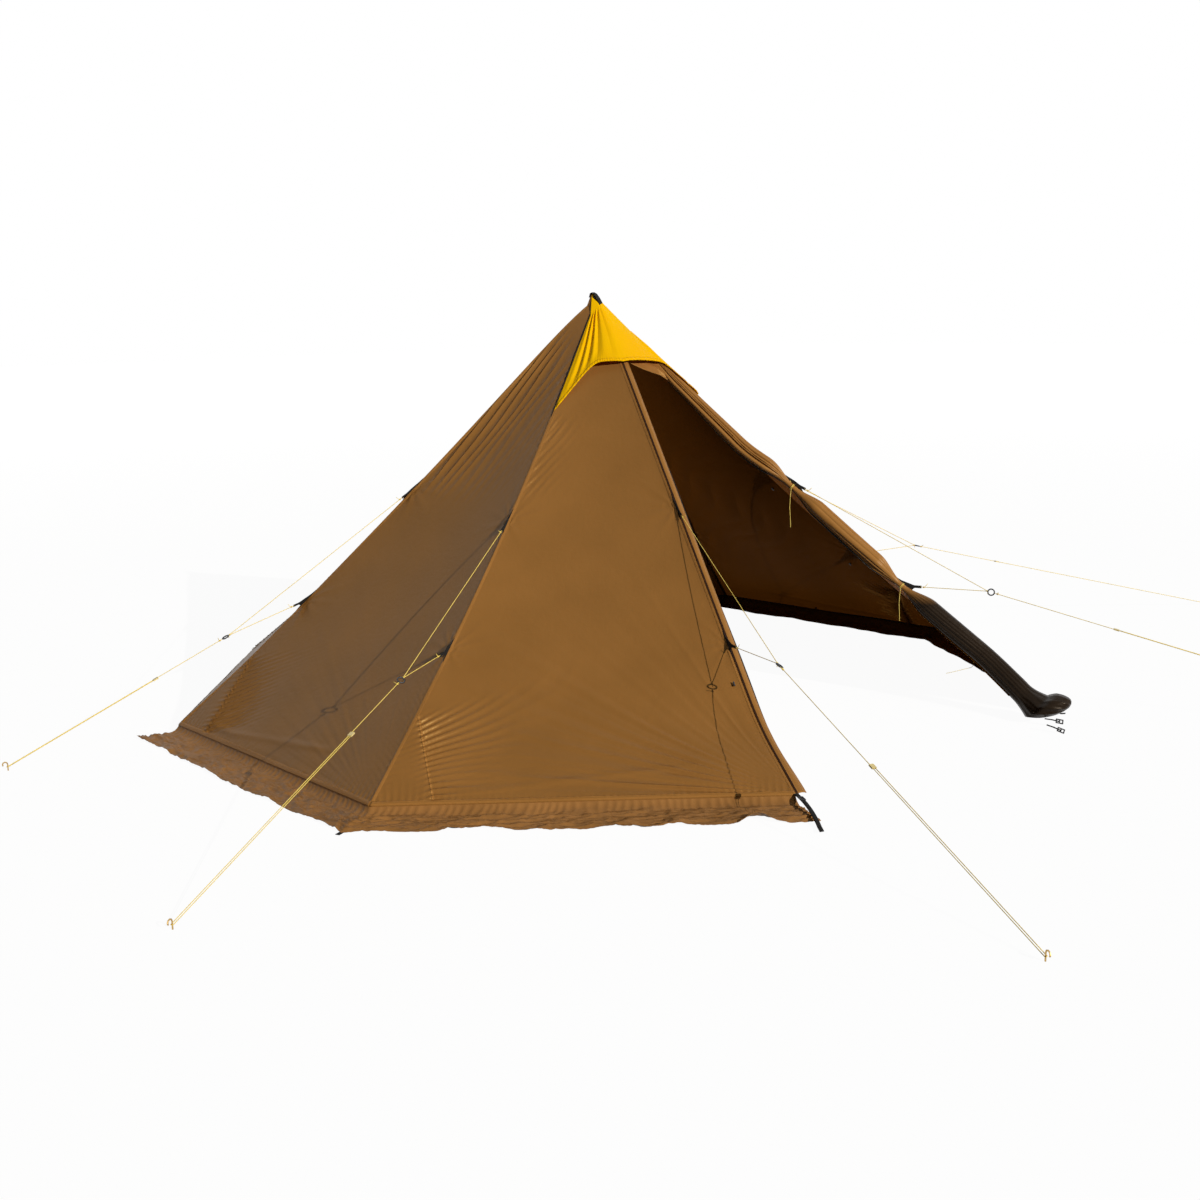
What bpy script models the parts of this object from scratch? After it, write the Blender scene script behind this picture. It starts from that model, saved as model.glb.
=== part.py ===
"""Eight-sided one-pole tent, guyed out and pegged, with its door panel rolled up.

Metres, +Z up. The origin is on the ground under the apex, and the doorway faces -Y.
Ridge k runs from the apex to hem corner k, and bay k lies between ridges k and k + 1.
"""

import math

import bmesh
import bpy
from mathutils import Matrix, Vector

# Canopy
SIDES = 8
CORNER_RADIUS = 2.30
APEX_HEIGHT = 2.085
HEM_HEIGHT = 0.05
CLOTH = 0.002
SEAM_GAP = 0.0010
TOUCH = 0.0003
WALL_DIP = 0.035
WALL_TOP_RADIUS = 0.03
KNEE_SHARE = 0.85
RIDGE_MARKS = (0.0, 0.25, 0.45, 0.65, KNEE_SHARE, 1.0)

# Bays in turn from ridge 0. The door is bay 2, and its panel is rolled to ridge 3.
BAYS = ("left", "front_left", "door", "front_right", "right", "back_right", "back", "back_left")
DOOR = BAYS.index("door")

# How each ridge stands as pitched: turned, pegged in or out, slack at its knee and bowed
CORNER_TURN = (0.8, -1.5, -1.8, 2.0, 0.3, 0.3, 0.0, 0.0)
CORNER_OUT = (-0.010, 0.055, -0.055, 0.020, 0.0, -0.040, 0.0, 0.0)
KNEE_DROP = (0.030, 0.055, 0.115, 0.030, 0.045, 0.045, 0.045, 0.045)
RIDGE_BOW = (0.010, 0.085, 0.0, 0.040, 0.040, 0.040, 0.040, 0.040)

# Snow skirt in two runs: first bay, number of bays, and how far it reaches out or is tucked in
SKIRT_OUT = 0.235
SKIRT_IN = -0.180
SKIRT_RUNS = (("front", 0, 2, SKIRT_OUT), ("back", 3, 5, SKIRT_IN))
SKIRT_SLOT = 0.002
SKIRT_CURVE = 3.8
SKIRT_WAVE = 0.012
SKIRT_WIDE_WAVES = 3.3
SKIRT_FINE_WAVES = 7.6
SKIRT_COLUMNS = 22

# Vent hood
HOOD_DROP = 0.36
HOOD_LEFT_TIP = 0.19
HOOD_RIGHT_TIP = 0.17
HOOD_TIP_SPAN = 0.3
HOOD_BULGE = 0.040
HOOD_OVER_ROLL = 0.005
HOOD_CROWD = 1.6
HOOD_ROLL_START = 0.05
HOOD_ROLL_EDGE = 0.002
VENT_TOP_RADIUS = 0.20

# Apex cap and hanging loop
CAP_RADIUS = 0.050
CAP_THICK = 0.0232
CAP_CROWN = 0.012
CAP_SEAT_RADIUS = 0.015
CAP_INNER_SLOPE = 0.90
CAP_WALL = 0.003
LOOP_WIDTH = 0.030
LOOP_LENGTH = 0.050
LOOP_THICK = 0.004
LOOP_AZIMUTH = 284.0
LOOP_SLOPE = 0.80
LOOP_LEAN = 0.6

# Centre pole
POLE_RADIUS = 0.016
POLE_WALL = 0.0015
POLE_JOINT = 1.02
POLE_OVERLAP = 0.30
POLE_FIT = 0.0004
POLE_TIP_RADIUS = 0.010
POLE_TIP_HEIGHT = 0.055
POLE_TIP_FLANGE = 0.010
POLE_TIP_SHOULDER = 0.016
POLE_TIP_PLUG = 0.030
FOOT_RADIUS = 0.030
FOOT_HEIGHT = 0.030
FOOT_FLOOR = 0.010
FOOT_WALL = 0.004
COLLAR_RADIUS = 0.0215
COLLAR_BELOW = 0.030
COLLAR_ABOVE = 0.035
COLLAR_EDGE = 0.001
COLLAR_EDGE_HEIGHT = 0.003
COLLAR_TAPER = 0.004
COLLAR_TAPER_HEIGHT = 0.008
ROUND = 24

# Door edge: storm flap, zip tape, coil and slider
FLAP_WIDTH = 0.042
FLAP_RAISE = 0.002
FLAP_TOP_SHARE = 0.12
TAPE_WIDTH = 0.030
TAPE_SINK = 0.014
TAPE_THICK = 0.0012
COIL_DIAMETER = 0.0035
SLIDER_SIZE = (0.014, 0.011, 0.008)
SLIDER_REST_SHARE = 0.20
SLIDER_PLAY = 0.0006
SLIDER_EDGE = 0.0012
PULL_SIZE = (0.026, 0.007, 0.0014)
PULL_OVERHANG = 0.004
PULL_EDGE = 0.0005

# Rolled door: share along ridge 3, and the roll's radius there
ROLL_FORM = (
    (0.13, 0.020),
    (0.20, 0.034),
    (0.35, 0.043),
    (0.60, 0.046),
    (0.85, 0.055),
    (0.94, 0.054),
    (0.985, 0.067),
    (1.03, 0.065),
    (1.055, 0.045),
)
ROLL_CLEAR = 0.0012
ROLL_STRAP_CLEAR = 0.013
ROLL_STRAP_SHARES = (0.90, 0.97)
# From the doorway's side of the ridge the roll climbs onto its outside between two shares
ROLL_LEAN = 45.0
ROLL_LEAN_SHARES = (0.34, 0.44)
ROLL_RINGS = 32
ROLL_POINTS = 18
ROLL_FOLD = 0.16
TIE_SHARES = (0.455, 0.700)
TIE_TAILS = (0.20, 0.17)
TIE_CINCH = 0.50
TIE_TURNS = 1.5
TIE_SIDES = 16
TIE_FLAT = 0.004
TIE_GRIP = 0.06
TIE_STEPS = (0.004, 0.014, 0.024, 0.036, 0.048)
# Share down each tail, and how far it sways aside there
TIE_SWAY = ((0.2, 0.010), (0.45, 0.016), (0.7, 0.010), (1.0, 0.004))

# Guying: two gussets on each guyed ridge, a bridle to a ring, and a line to a peg
GUYED = (0, 1, 2, 3, 4, 5, 6)
GUSSET_SHARES = (0.455, 0.710)
GUSSET_BASE = 0.110
GUSSET_REACH = 0.082
GUSSET_TIP = 0.016
GUSSET_THICK = 0.0025
GUY_TURN = (4.9, -0.1, 0.4, 0.8, 0.6, 0.0, 0.0)
RING_REACH = 2.07
RING_HEIGHT = 0.55
RING_RAISE = (-0.050, -0.045, 0.0, 0.050, 0.040, 0.0, 0.0)
RING_OUTER = 0.038
RING_SECTION = 0.005
CORD = 0.003
LINE_STRAIGHT = 0.02
PEG_REACH = (3.10, 3.55, 3.84, 4.27, 4.38, 3.90, 3.50)
TENSIONER_DROP = (0.36, 0.39, 0.75, 0.60, 0.60, 0.50, 0.45)
TENSIONER_SIZE = (0.026, 0.0195, 0.0065)
TENSIONER_PLAY = 0.0005

# Pegs and corner straps
PEG_ROD = 0.006
PEG_RISE = 0.030
PEG_HOOK = 0.011
PEG_LINE_HEIGHT = 0.018
PEG_TURNS = (45, 90, 135, 180, 215)
STRAP_WIDTH = 0.020
STRAP_THICK = 0.0018
# The strap under the rolled door is the short one
STRAP_REACH = (0.300, 0.300, 0.300, 0.130, 0.300, 0.300, 0.300, 0.300)
STRAP_END_HEIGHT = 0.006
BUCKLE_SIZE = (0.030, 0.0225, 0.005)
BUCKLE_WINDOW = (0.008, 0.0165)
BUCKLE_PLACE = 0.055
# The corner straps that are sewn to each run of the skirt
STRAP_OWNERS = {"front": (0, 1, 2), "back": (3, 4, 5, 6, 7)}

COLOURS = {
    "canopy_cloth": ((0.24, 0.11, 0.03), 0.5, 0.0),
    "hood_cloth": ((0.90, 0.52, 0.01), 0.5, 0.0),
    "black_webbing": ((0.012, 0.011, 0.010), 0.8, 0.0),
    "black_plastic": ((0.015, 0.015, 0.016), 0.4, 0.0),
    "yellow_cord": ((0.72, 0.52, 0.14), 0.7, 0.0),
    "pole_metal": ((0.62, 0.62, 0.64), 0.35, 1.0),
    "peg_metal": ((0.42, 0.30, 0.14), 0.4, 1.0),
}


def clear_scene():
    for old in list(bpy.data.objects):
        bpy.data.objects.remove(old, do_unlink=True)


def new_collection(name):
    collection = bpy.data.collections.new(name)
    bpy.context.scene.collection.children.link(collection)
    return collection


def make_material(node, finish):
    colour, roughness, metallic = COLOURS[finish]
    material = bpy.data.materials.new(node)
    material.use_nodes = True
    shader = material.node_tree.nodes["Principled BSDF"]
    shader.inputs["Base Color"].default_value = (*colour, 1.0)
    shader.inputs["Roughness"].default_value = roughness
    shader.inputs["Metallic"].default_value = metallic
    material.diffuse_color = (*colour, 1.0)
    return material


def add_object(node, data, finish):
    obj = bpy.data.objects.new(node, data)
    PARTS.objects.link(obj)
    data.materials.append(make_material(node, finish))
    return obj


def mesh_from(bm, name):
    """A mesh from closed bodies, with their faces turned outwards."""
    bmesh.ops.recalc_face_normals(bm, faces=bm.faces)
    mesh = bpy.data.meshes.new(name)
    bm.to_mesh(mesh)
    bm.free()
    return mesh


def smooth(mesh, degrees=40.0):
    mesh.shade_smooth()
    mesh.set_sharp_from_angle(angle=math.radians(degrees))


def ease(low, high, x):
    """0 below low, 1 above high, and a smooth step between."""
    s = min(max((x - low) / (high - low), 0.0), 1.0)
    return s * s * (3 - 2 * s)


def table(rows, x):
    """Smooth steps between the rows of a short table of places and values."""
    for (x0, y0), (x1, y1) in zip(rows, rows[1:]):
        if x <= x1:
            return y0 + (y1 - y0) * ease(x0, x1, x)
    return rows[-1][1]


# The canopy's ridges and bays


def azimuth(k):
    k %= SIDES
    first = 270.0 - 360.0 / SIDES * (DOOR + 0.5)
    return math.radians(first + 360.0 / SIDES * k + CORNER_TURN[k])


def outward(angle):
    return Vector((math.cos(angle), math.sin(angle), 0.0))


def corner_radius(k):
    return CORNER_RADIUS + CORNER_OUT[k % SIDES]


def ridge_mark(k, share):
    """A mark of ridge k: its height falls from the apex to the knee with a bow, then to the hem."""
    corner = corner_radius(k)
    fall = APEX_HEIGHT - HEM_HEIGHT
    knee_height = APEX_HEIGHT - fall * KNEE_SHARE - KNEE_DROP[k % SIDES]
    if share <= KNEE_SHARE:
        s = share / KNEE_SHARE
        height = APEX_HEIGHT + (knee_height - APEX_HEIGHT) * s - RIDGE_BOW[k % SIDES] * 4 * s * (1 - s)
    else:
        height = knee_height + (HEM_HEIGHT - knee_height) * (share - KNEE_SHARE) / (1 - KNEE_SHARE)
    return outward(azimuth(k)) * share * corner + Vector((0, 0, height))


def ridge(k, share):
    """The point of ridge k at a share of the way out, on the straight run between two marks."""
    for low, high in zip(RIDGE_MARKS, RIDGE_MARKS[1:]):
        if share <= high or high == 1.0:
            return ridge_mark(k, low).lerp(ridge_mark(k, high), (share - low) / (high - low))


def bay_normal(k):
    apex = ridge(k, 0.0)
    return (ridge(k, KNEE_SHARE) - apex).cross(ridge(k + 1, KNEE_SHARE) - apex).normalized()


def share_at(k, radius):
    return radius / corner_radius(k)


def across(k, share, u):
    """A point of bay k: at a share of the way out, and u of the way from ridge k to ridge k + 1."""
    start, end = ridge(k, share), ridge(k + 1, share)
    edge = SEAM_GAP / (end - start).length
    point = start.lerp(end, edge + (1 - 2 * edge) * u)
    return point - bay_normal(k) * WALL_DIP * 4 * u * (1 - u) * math.sin(math.pi * share) ** 2


def sheet(node, columns, rows, place, thickness, finish):
    """A cloth sheet: a grid whose points place() puts in space, with its thickness inside."""
    bm = bmesh.new()
    bmesh.ops.create_grid(bm, x_segments=columns, y_segments=rows, size=0.5)
    for vert in bm.verts:
        vert.co = place(vert.co.x + 0.5, vert.co.y + 0.5)
    mesh = bpy.data.meshes.new(node)
    bm.to_mesh(mesh)
    bm.free()
    mesh.shade_smooth()
    obj = add_object(node, mesh, finish)
    wall = obj.modifiers.new("thickness", "SOLIDIFY")
    wall.thickness = thickness
    wall.offset = -1.0
    wall.use_even_offset = True
    return obj


def row_value(rows, v):
    """The value at v from 0 to 1 along evenly spaced rows."""
    place = v * (len(rows) - 1)
    i = min(int(place + 1e-6), len(rows) - 2)
    return rows[i] + (rows[i + 1] - rows[i]) * (place - i)


def wall_rows(top):
    """Shares from the hem to the top that hold every mark of the ridges, and one between."""
    marks = [share for share in reversed(RIDGE_MARKS) if share > top]
    between = [(low + high) / 2 for low, high in zip(marks, marks[1:])]
    return [*sorted(marks + between, reverse=True), top]


def make_walls():
    for k, bay in enumerate(BAYS):
        if k == DOOR:
            continue
        rows = wall_rows(share_at(k, VENT_TOP_RADIUS if k == DOOR - 1 else WALL_TOP_RADIUS))

        def place(u, v, k=k, rows=rows):
            return across(k, row_value(rows, v), u)

        sheet(f"wall_{bay}", 6, len(rows) - 1, place, CLOTH, "canopy_cloth")


def skirt_point(around, s, reach):
    """A point of the skirt: around counts bays from ridge 0, and s runs from the hem to the edge."""
    k = int(math.floor(around + 1e-6))
    inside = around - k
    step = TOUCH + s * reach / math.cos(math.pi / SIDES)
    start = ridge(k, 1.0) + outward(azimuth(k)) * step
    end = ridge(k + 1, 1.0) + outward(azimuth(k + 1)) * step
    point = start.lerp(end, inside)
    wide = 0.5 + 0.5 * math.sin(math.tau * SKIRT_WIDE_WAVES * around)
    fine = 0.5 + 0.5 * math.sin(math.tau * SKIRT_FINE_WAVES * around + 1.0)
    low = CLOTH + TOUCH
    top = HEM_HEIGHT - TOUCH - (CLOTH if reach < 0 else 0.0)
    point.z = low + (top - low) * (1 - s) ** SKIRT_CURVE + SKIRT_WAVE * s * (0.6 * wide + 0.4 * fine)
    return point


def make_skirts():
    for name, first, bays, reach in SKIRT_RUNS:
        slot = SKIRT_SLOT / corner_radius(first)

        def place(u, v, first=first, bays=bays, reach=reach, slot=slot):
            around = first + slot + (bays - 2 * slot) * u
            return skirt_point(around, 1 - v if reach > 0 else v, reach)

        node = f"snow_skirt_{name}"
        skirt = sheet(node, SKIRT_COLUMNS * bays, 3, place, CLOTH, "canopy_cloth")
        corners = range(first, first + bays + 1)
        for k in corners:
            if any(k % SIDES == other for other in STRAP_OWNERS.get(name, ())):
                combine(skirt, make_strap(k % SIDES, reach < 0), "UNION")


def hood_low_radius(u):
    left = max(1 - u / HOOD_TIP_SPAN, 0.0)
    right = max(1 - (1 - u) / HOOD_TIP_SPAN, 0.0)
    return HOOD_DROP + HOOD_LEFT_TIP * left**2 + HOOD_RIGHT_TIP * right**2


def over_roll(share, offset):
    """Height that clears the rolled door at an offset from ridge 3."""
    first = ROLL_FORM[0][0]
    radius = table(ROLL_FORM, share) * ease(first - HOOD_ROLL_START, first, share)
    high, middle = radius + HOOD_OVER_ROLL, radius + ROLL_CLEAR
    if radius == 0.0:
        return 0.0
    if offset <= middle:
        return math.sqrt(max(high**2 - (middle - offset) ** 2, 0.0)) * ease(0.0, HOOD_ROLL_EDGE, offset)
    return high * (1 - ease(middle, 3 * middle, offset))


def hood_point(u, v):
    """A point of the vent hood's outer face: u from ridge 1 to ridge 3, v from low edge to apex."""
    k = DOOR - 1 if u < 0.5 else DOOR
    inside = 2 * u if u < 0.5 else 1 - (2 - 2 * u) ** HOOD_CROWD
    low = hood_low_radius(u)
    share = share_at(k, low + (WALL_TOP_RADIUS - low) * v)
    start, end = ridge(k, share), ridge(k + 1, share)
    normal = (bay_normal(DOOR - 1) * (1 - u) + bay_normal(DOOR) * u).normalized()
    lift = HOOD_BULGE * (1 - abs(2 * u - 1) ** 3) * (1 - v)
    if k == DOOR:
        lift = max(lift, over_roll(share, (1 - inside) * (end - start).length))
    return start.lerp(end, inside) + normal * (CLOTH + TOUCH + lift)


def make_hood():
    """The vent hood over bays 1 and 2, sewn along ridges 1 and 3 and open along its low edge."""
    sheet("vent_hood", 24, 8, hood_point, CLOTH, "hood_cloth")


# Solids shared by several nodes


def prism(bm, corners, depth):
    """A flat outline pushed along depth, centred on its plane."""
    verts = [bm.verts.new(corner - depth / 2) for corner in corners]
    face = bm.faces.new(verts)
    grown = bmesh.ops.extrude_face_region(bm, geom=[face])
    moved = [item for item in grown["geom"] if isinstance(item, bmesh.types.BMVert)]
    bmesh.ops.translate(bm, verts=moved, vec=depth)


def tube_curve(name, points, diameter, resolution=2):
    curve = bpy.data.curves.new(name, "CURVE")
    curve.dimensions = "3D"
    curve.bevel_depth = diameter / 2
    curve.bevel_resolution = resolution
    curve.use_fill_caps = True
    spline = curve.splines.new("POLY")
    spline.points.add(len(points) - 1)
    for target, point in zip(spline.points, points):
        target.co = (*point, 1.0)
    return curve


def add_tube(bm, points, diameter, resolution=2):
    """Adds a closed tube along points to a bmesh."""
    guide = bpy.data.objects.new("tube", tube_curve("tube", points, diameter, resolution))
    PARTS.objects.link(guide)
    bpy.context.view_layer.update()
    mesh = bpy.data.meshes.new_from_object(guide.evaluated_get(bpy.context.evaluated_depsgraph_get()))
    curve = guide.data
    bpy.data.objects.remove(guide, do_unlink=True)
    bpy.data.curves.remove(curve)
    piece = bmesh.new()
    piece.from_mesh(mesh)
    bmesh.ops.remove_doubles(piece, verts=piece.verts, dist=1e-5)
    piece.to_mesh(mesh)
    piece.free()
    bm.from_mesh(mesh)
    bpy.data.meshes.remove(mesh)


def turned(node, profile, finish):
    """A turned piece: a closed profile of radius and height, spun about the pole's axis."""
    bm = bmesh.new()
    verts = [bm.verts.new((radius, 0.0, height)) for radius, height in profile]
    edges = [bm.edges.new(pair) for pair in zip(verts, verts[1:] + verts[:1])]
    bmesh.ops.spin(
        bm,
        geom=[*verts, *edges],
        cent=(0, 0, 0),
        axis=(0, 0, 1),
        angle=math.tau,
        steps=ROUND,
        use_merge=True,
        use_duplicate=False,
    )
    bmesh.ops.remove_doubles(bm, verts=bm.verts, dist=1e-6)
    mesh = mesh_from(bm, node)
    smooth(mesh)
    return add_object(node, mesh, finish)


# Apex and pole


def hood_height(radius):
    """Height of the hood's outer face over ridge 2, at a distance from the pole's axis."""
    steps = 200
    points = [hood_point(0.5, i / steps) for i in range(steps + 1)]
    for low, high in zip(points, points[1:]):
        far, near = math.hypot(low.x, low.y), math.hypot(high.x, high.y)
        if near <= radius <= far:
            return low.z + (high.z - low.z) * (far - radius) / (far - near)
    return points[-1].z


def cap_lip():
    """Height of the cap's lower edge, which rests on the hood."""
    return hood_height(CAP_RADIUS) + 2 * TOUCH


def cap_seat():
    """Height of the flat inside of the cap, which the pole's tip carries."""
    return cap_lip() + CAP_INNER_SLOPE * (CAP_RADIUS - CAP_SEAT_RADIUS)


def make_apex():
    lip, seat = cap_lip(), cap_seat()
    top = seat + CAP_THICK
    turned(
        "apex_cap",
        (
            (0.0, top),
            (CAP_CROWN, top - CAP_WALL),
            (CAP_RADIUS, lip + CAP_WALL),
            (CAP_RADIUS, lip),
            (CAP_SEAT_RADIUS, seat),
            (0.0, seat),
        ),
        "black_webbing",
    )
    # The hanging loop is pressed flat and lies from the top of the cap down over the hood
    away = outward(math.radians(LOOP_AZIMUTH))
    side = away.cross(Vector((0, 0, 1)))
    lower = [
        away * -CAP_CROWN + Vector((0, 0, top + TOUCH)),
        away * CAP_CROWN + Vector((0, 0, top + TOUCH)),
        away * (CAP_RADIUS + TOUCH) + Vector((0, 0, lip + CAP_WALL + 2 * TOUCH)),
    ]
    lower.append(lower[-1] + (away - Vector((0, 0, LOOP_SLOPE))) * LOOP_LENGTH)
    upper = [point + (away * LOOP_LEAN + Vector((0, 0, 1))) * LOOP_THICK for point in lower]
    bm = bmesh.new()
    prism(bm, [*upper, *reversed(lower)], side * LOOP_WIDTH)
    add_object("apex_loop", mesh_from(bm, "apex_loop"), "black_webbing")


def make_pole():
    bore = POLE_RADIUS - POLE_WALL
    inner = bore * math.cos(math.pi / ROUND) - POLE_FIT
    upper_top = cap_seat() - TOUCH - POLE_TIP_HEIGHT
    lower_top = POLE_JOINT + POLE_OVERLAP
    turned(
        "pole_upper_tube",
        ((POLE_RADIUS, upper_top), (POLE_RADIUS, POLE_JOINT), (bore, POLE_JOINT), (bore, upper_top)),
        "pole_metal",
    )
    turned(
        "pole_lower_tube",
        (
            (inner, lower_top),
            (inner, FOOT_FLOOR + TOUCH),
            (inner - POLE_WALL, FOOT_FLOOR + TOUCH),
            (inner - POLE_WALL, lower_top),
        ),
        "pole_metal",
    )
    plug = bore * math.cos(math.pi / ROUND) - TOUCH
    tip_top = upper_top + POLE_TIP_HEIGHT
    turned(
        "pole_tip",
        (
            (0.0, tip_top),
            (POLE_TIP_RADIUS, tip_top),
            (POLE_TIP_RADIUS, upper_top + POLE_TIP_SHOULDER),
            (POLE_RADIUS, upper_top + POLE_TIP_FLANGE),
            (POLE_RADIUS, upper_top + TOUCH),
            (plug, upper_top + TOUCH),
            (plug, upper_top - POLE_TIP_PLUG),
            (0.0, upper_top - POLE_TIP_PLUG),
        ),
        "black_plastic",
    )
    socket = inner / math.cos(math.pi / ROUND) + TOUCH
    turned(
        "pole_foot",
        (
            (0.0, FOOT_FLOOR),
            (socket, FOOT_FLOOR),
            (socket, FOOT_HEIGHT),
            (socket + FOOT_WALL, FOOT_HEIGHT),
            (FOOT_RADIUS, FOOT_FLOOR),
            (FOOT_RADIUS, 0.0),
            (0.0, 0.0),
        ),
        "black_plastic",
    )
    # The clamp collar grips the lower tube under the upper tube's end
    over_upper = POLE_RADIUS / math.cos(math.pi / ROUND) + TOUCH
    over_lower = inner / math.cos(math.pi / ROUND) + TOUCH
    high, low = POLE_JOINT + COLLAR_ABOVE, POLE_JOINT - COLLAR_BELOW
    turned(
        "pole_lock_collar",
        (
            (COLLAR_RADIUS - COLLAR_EDGE, high),
            (COLLAR_RADIUS, high - COLLAR_EDGE_HEIGHT),
            (COLLAR_RADIUS, low + COLLAR_TAPER_HEIGHT),
            (COLLAR_RADIUS - COLLAR_TAPER, low),
            (over_lower, low),
            (over_lower, POLE_JOINT - TOUCH),
            (over_upper, POLE_JOINT - TOUCH),
            (over_upper, high),
        ),
        "black_plastic",
    )


# Door edge


def door_edge_frame():
    """Down the zip, across it into the doorway, and out through the doorway."""
    down = (ridge(DOOR, KNEE_SHARE) - ridge(DOOR, 0.0)).normalized()
    out = bay_normal(DOOR)
    return down, out.cross(down).normalized(), out


def tape_point(share, distance):
    """A point of the zip tape, which sinks below the bay as it leaves the ridge."""
    _, over, out = door_edge_frame()
    sink = CLOTH + 3 * TOUCH + TAPE_SINK * distance / TAPE_WIDTH
    return ridge(DOOR, share) + over * (SEAM_GAP + distance) - out * sink


def tape_frame():
    down, _, _ = door_edge_frame()
    over = (tape_point(0.5, TAPE_WIDTH) - tape_point(0.5, 0.0)).normalized()
    return down, over, down.cross(over).normalized()


def coil_point(share):
    _, over, out = tape_frame()
    return tape_point(share, TAPE_WIDTH) + over * (COIL_DIAMETER / 2 + TOUCH) - out * TAPE_THICK / 2


def make_door_edge():
    _, over, out = door_edge_frame()
    rows = wall_rows(FLAP_TOP_SHARE)

    def flap(u, v):
        return ridge(DOOR, row_value(rows, v)) + over * (SEAM_GAP + FLAP_WIDTH * u) + out * FLAP_RAISE * u

    def tape(u, v):
        return tape_point(row_value(rows, v), TAPE_WIDTH * u)

    sheet("door_storm_flap", 2, len(rows) - 1, flap, CLOTH, "canopy_cloth")
    sheet("door_zip_tape", 2, len(rows) - 1, tape, TAPE_THICK, "black_webbing")
    coil = [coil_point(share) for share in (FLAP_TOP_SHARE, KNEE_SHARE, 1.0)]
    add_object("door_zip_coil", tube_curve("door_zip_coil", coil, COIL_DIAMETER), "black_plastic")


def combine(target, tool, operation):
    """Joins a hidden body to the target, or cuts it out of the target."""
    for owner in list(tool.users_collection):
        owner.objects.unlink(tool)
    CUTTERS.objects.link(tool)
    tool.hide_render = True
    tool.display_type = "WIRE"
    step = target.modifiers.new(tool.name, "BOOLEAN")
    step.operation = operation
    step.solver = "EXACT"
    step.object = tool


def block(name, size, matrix):
    """A cuboid as a plain object, its size along the matrix's own axes."""
    bm = bmesh.new()
    bmesh.ops.create_cube(bm, size=1.0)
    bmesh.ops.scale(bm, verts=bm.verts, vec=size)
    obj = bpy.data.objects.new(name, mesh_from(bm, name))
    PARTS.objects.link(obj)
    obj.matrix_world = matrix
    return obj


def rod(name, radius, length, matrix, segments=12):
    """A cylinder along the matrix's x axis."""
    bm = bmesh.new()
    bmesh.ops.create_cone(bm, cap_ends=True, segments=segments, radius1=radius, radius2=radius, depth=length)
    bmesh.ops.rotate(bm, verts=bm.verts, matrix=Matrix.Rotation(math.pi / 2, 3, "Y"))
    obj = bpy.data.objects.new(name, mesh_from(bm, name))
    PARTS.objects.link(obj)
    obj.matrix_world = matrix
    return obj


def frame_at(place, x_axis, y_axis):
    z_axis = x_axis.cross(y_axis).normalized()
    matrix = Matrix((x_axis, y_axis, z_axis)).transposed().to_4x4()
    matrix.translation = place
    return matrix


def make_slider():
    """The zip slider, with a channel for the coil and a slot for the tape, and its pull."""
    down, over, out = tape_frame()
    place = coil_point(SLIDER_REST_SHARE)
    home = frame_at(place, down, over)
    length, width, height = SLIDER_SIZE
    body = block("door_zip_slider", SLIDER_SIZE, home)
    body.data.materials.append(make_material("door_zip_slider", "black_plastic"))
    edges = body.modifiers.new("edges", "BEVEL")
    edges.width = SLIDER_EDGE
    edges.segments = 1
    bore = rod("cut_coil", COIL_DIAMETER / 2 + SLIDER_PLAY, 2 * length, home)
    combine(body, bore, "DIFFERENCE")
    slot_size = (2 * length, width, TAPE_THICK + 2 * SLIDER_PLAY)
    slot = block("cut_tape", slot_size, home @ Matrix.Translation((0, -width / 2, 0)))
    combine(body, slot, "DIFFERENCE")
    raised = height / 2 + TOUCH + PULL_SIZE[2] / 2
    ahead = PULL_SIZE[0] / 2 - PULL_OVERHANG
    pull = block("door_zip_pull", PULL_SIZE, home @ Matrix.Translation((ahead, 0, raised)))
    pull.data.materials.append(make_material("door_zip_pull", "black_plastic"))
    soft = pull.modifiers.new("edges", "BEVEL")
    soft.width = PULL_EDGE
    soft.segments = 1


# Rolled door


def roll_frame():
    """Down ridge 3, across it into the doorway, and out through the doorway."""
    last = DOOR + 1
    down = (ridge(last, KNEE_SHARE) - ridge(last, 0.0)).normalized()
    out = bay_normal(DOOR)
    return down, down.cross(out).normalized(), out


def tie_hold(share):
    """1 where a tie goes round the roll, falling to 0 beside it."""
    return max(1 - ease(TIE_FLAT, TIE_GRIP, abs(share - tie)) for tie in TIE_SHARES)


def roll_radius(share):
    """The roll's radius, drawn in where a tie goes round it."""
    return table(ROLL_FORM, share) * (1 - (1 - TIE_CINCH) * tie_hold(share))


def roll_centre(share):
    _, over, out = roll_frame()
    last = DOOR + 1
    radius = table(ROLL_FORM, share)
    lean = math.radians(ROLL_LEAN) * ease(*ROLL_LEAN_SHARES, share)
    clear = ROLL_CLEAR + ROLL_STRAP_CLEAR * ease(*ROLL_STRAP_SHARES, share)
    point = ridge(last, min(share, 1.0))
    if share > 1.0:
        point += outward(azimuth(last)) * (share - 1.0) * corner_radius(last)
    point += (over * math.cos(lean) + out * math.sin(lean)) * (radius + clear)
    point.z = max(point.z, roll_radius(share) + 2 * TOUCH)
    return point


def roll_ring(share):
    """One ring of the roll: a circle with shallow folds, none of them past its radius."""
    down, over, out = roll_frame()
    centre, radius = roll_centre(share), roll_radius(share)
    calm = 1 - tie_hold(share)
    ring = []
    for i in range(ROLL_POINTS):
        angle = math.tau * i / ROLL_POINTS
        wave = 0.6 * math.cos(3 * angle + 5.0 * share) + 0.4 * math.cos(5 * angle - 9.0 * share)
        fold = 1 - ROLL_FOLD * calm * (0.5 - 0.5 * wave)
        ring.append(centre + (over * math.cos(angle) + out * math.sin(angle)) * radius * fold)
    return ring


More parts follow.
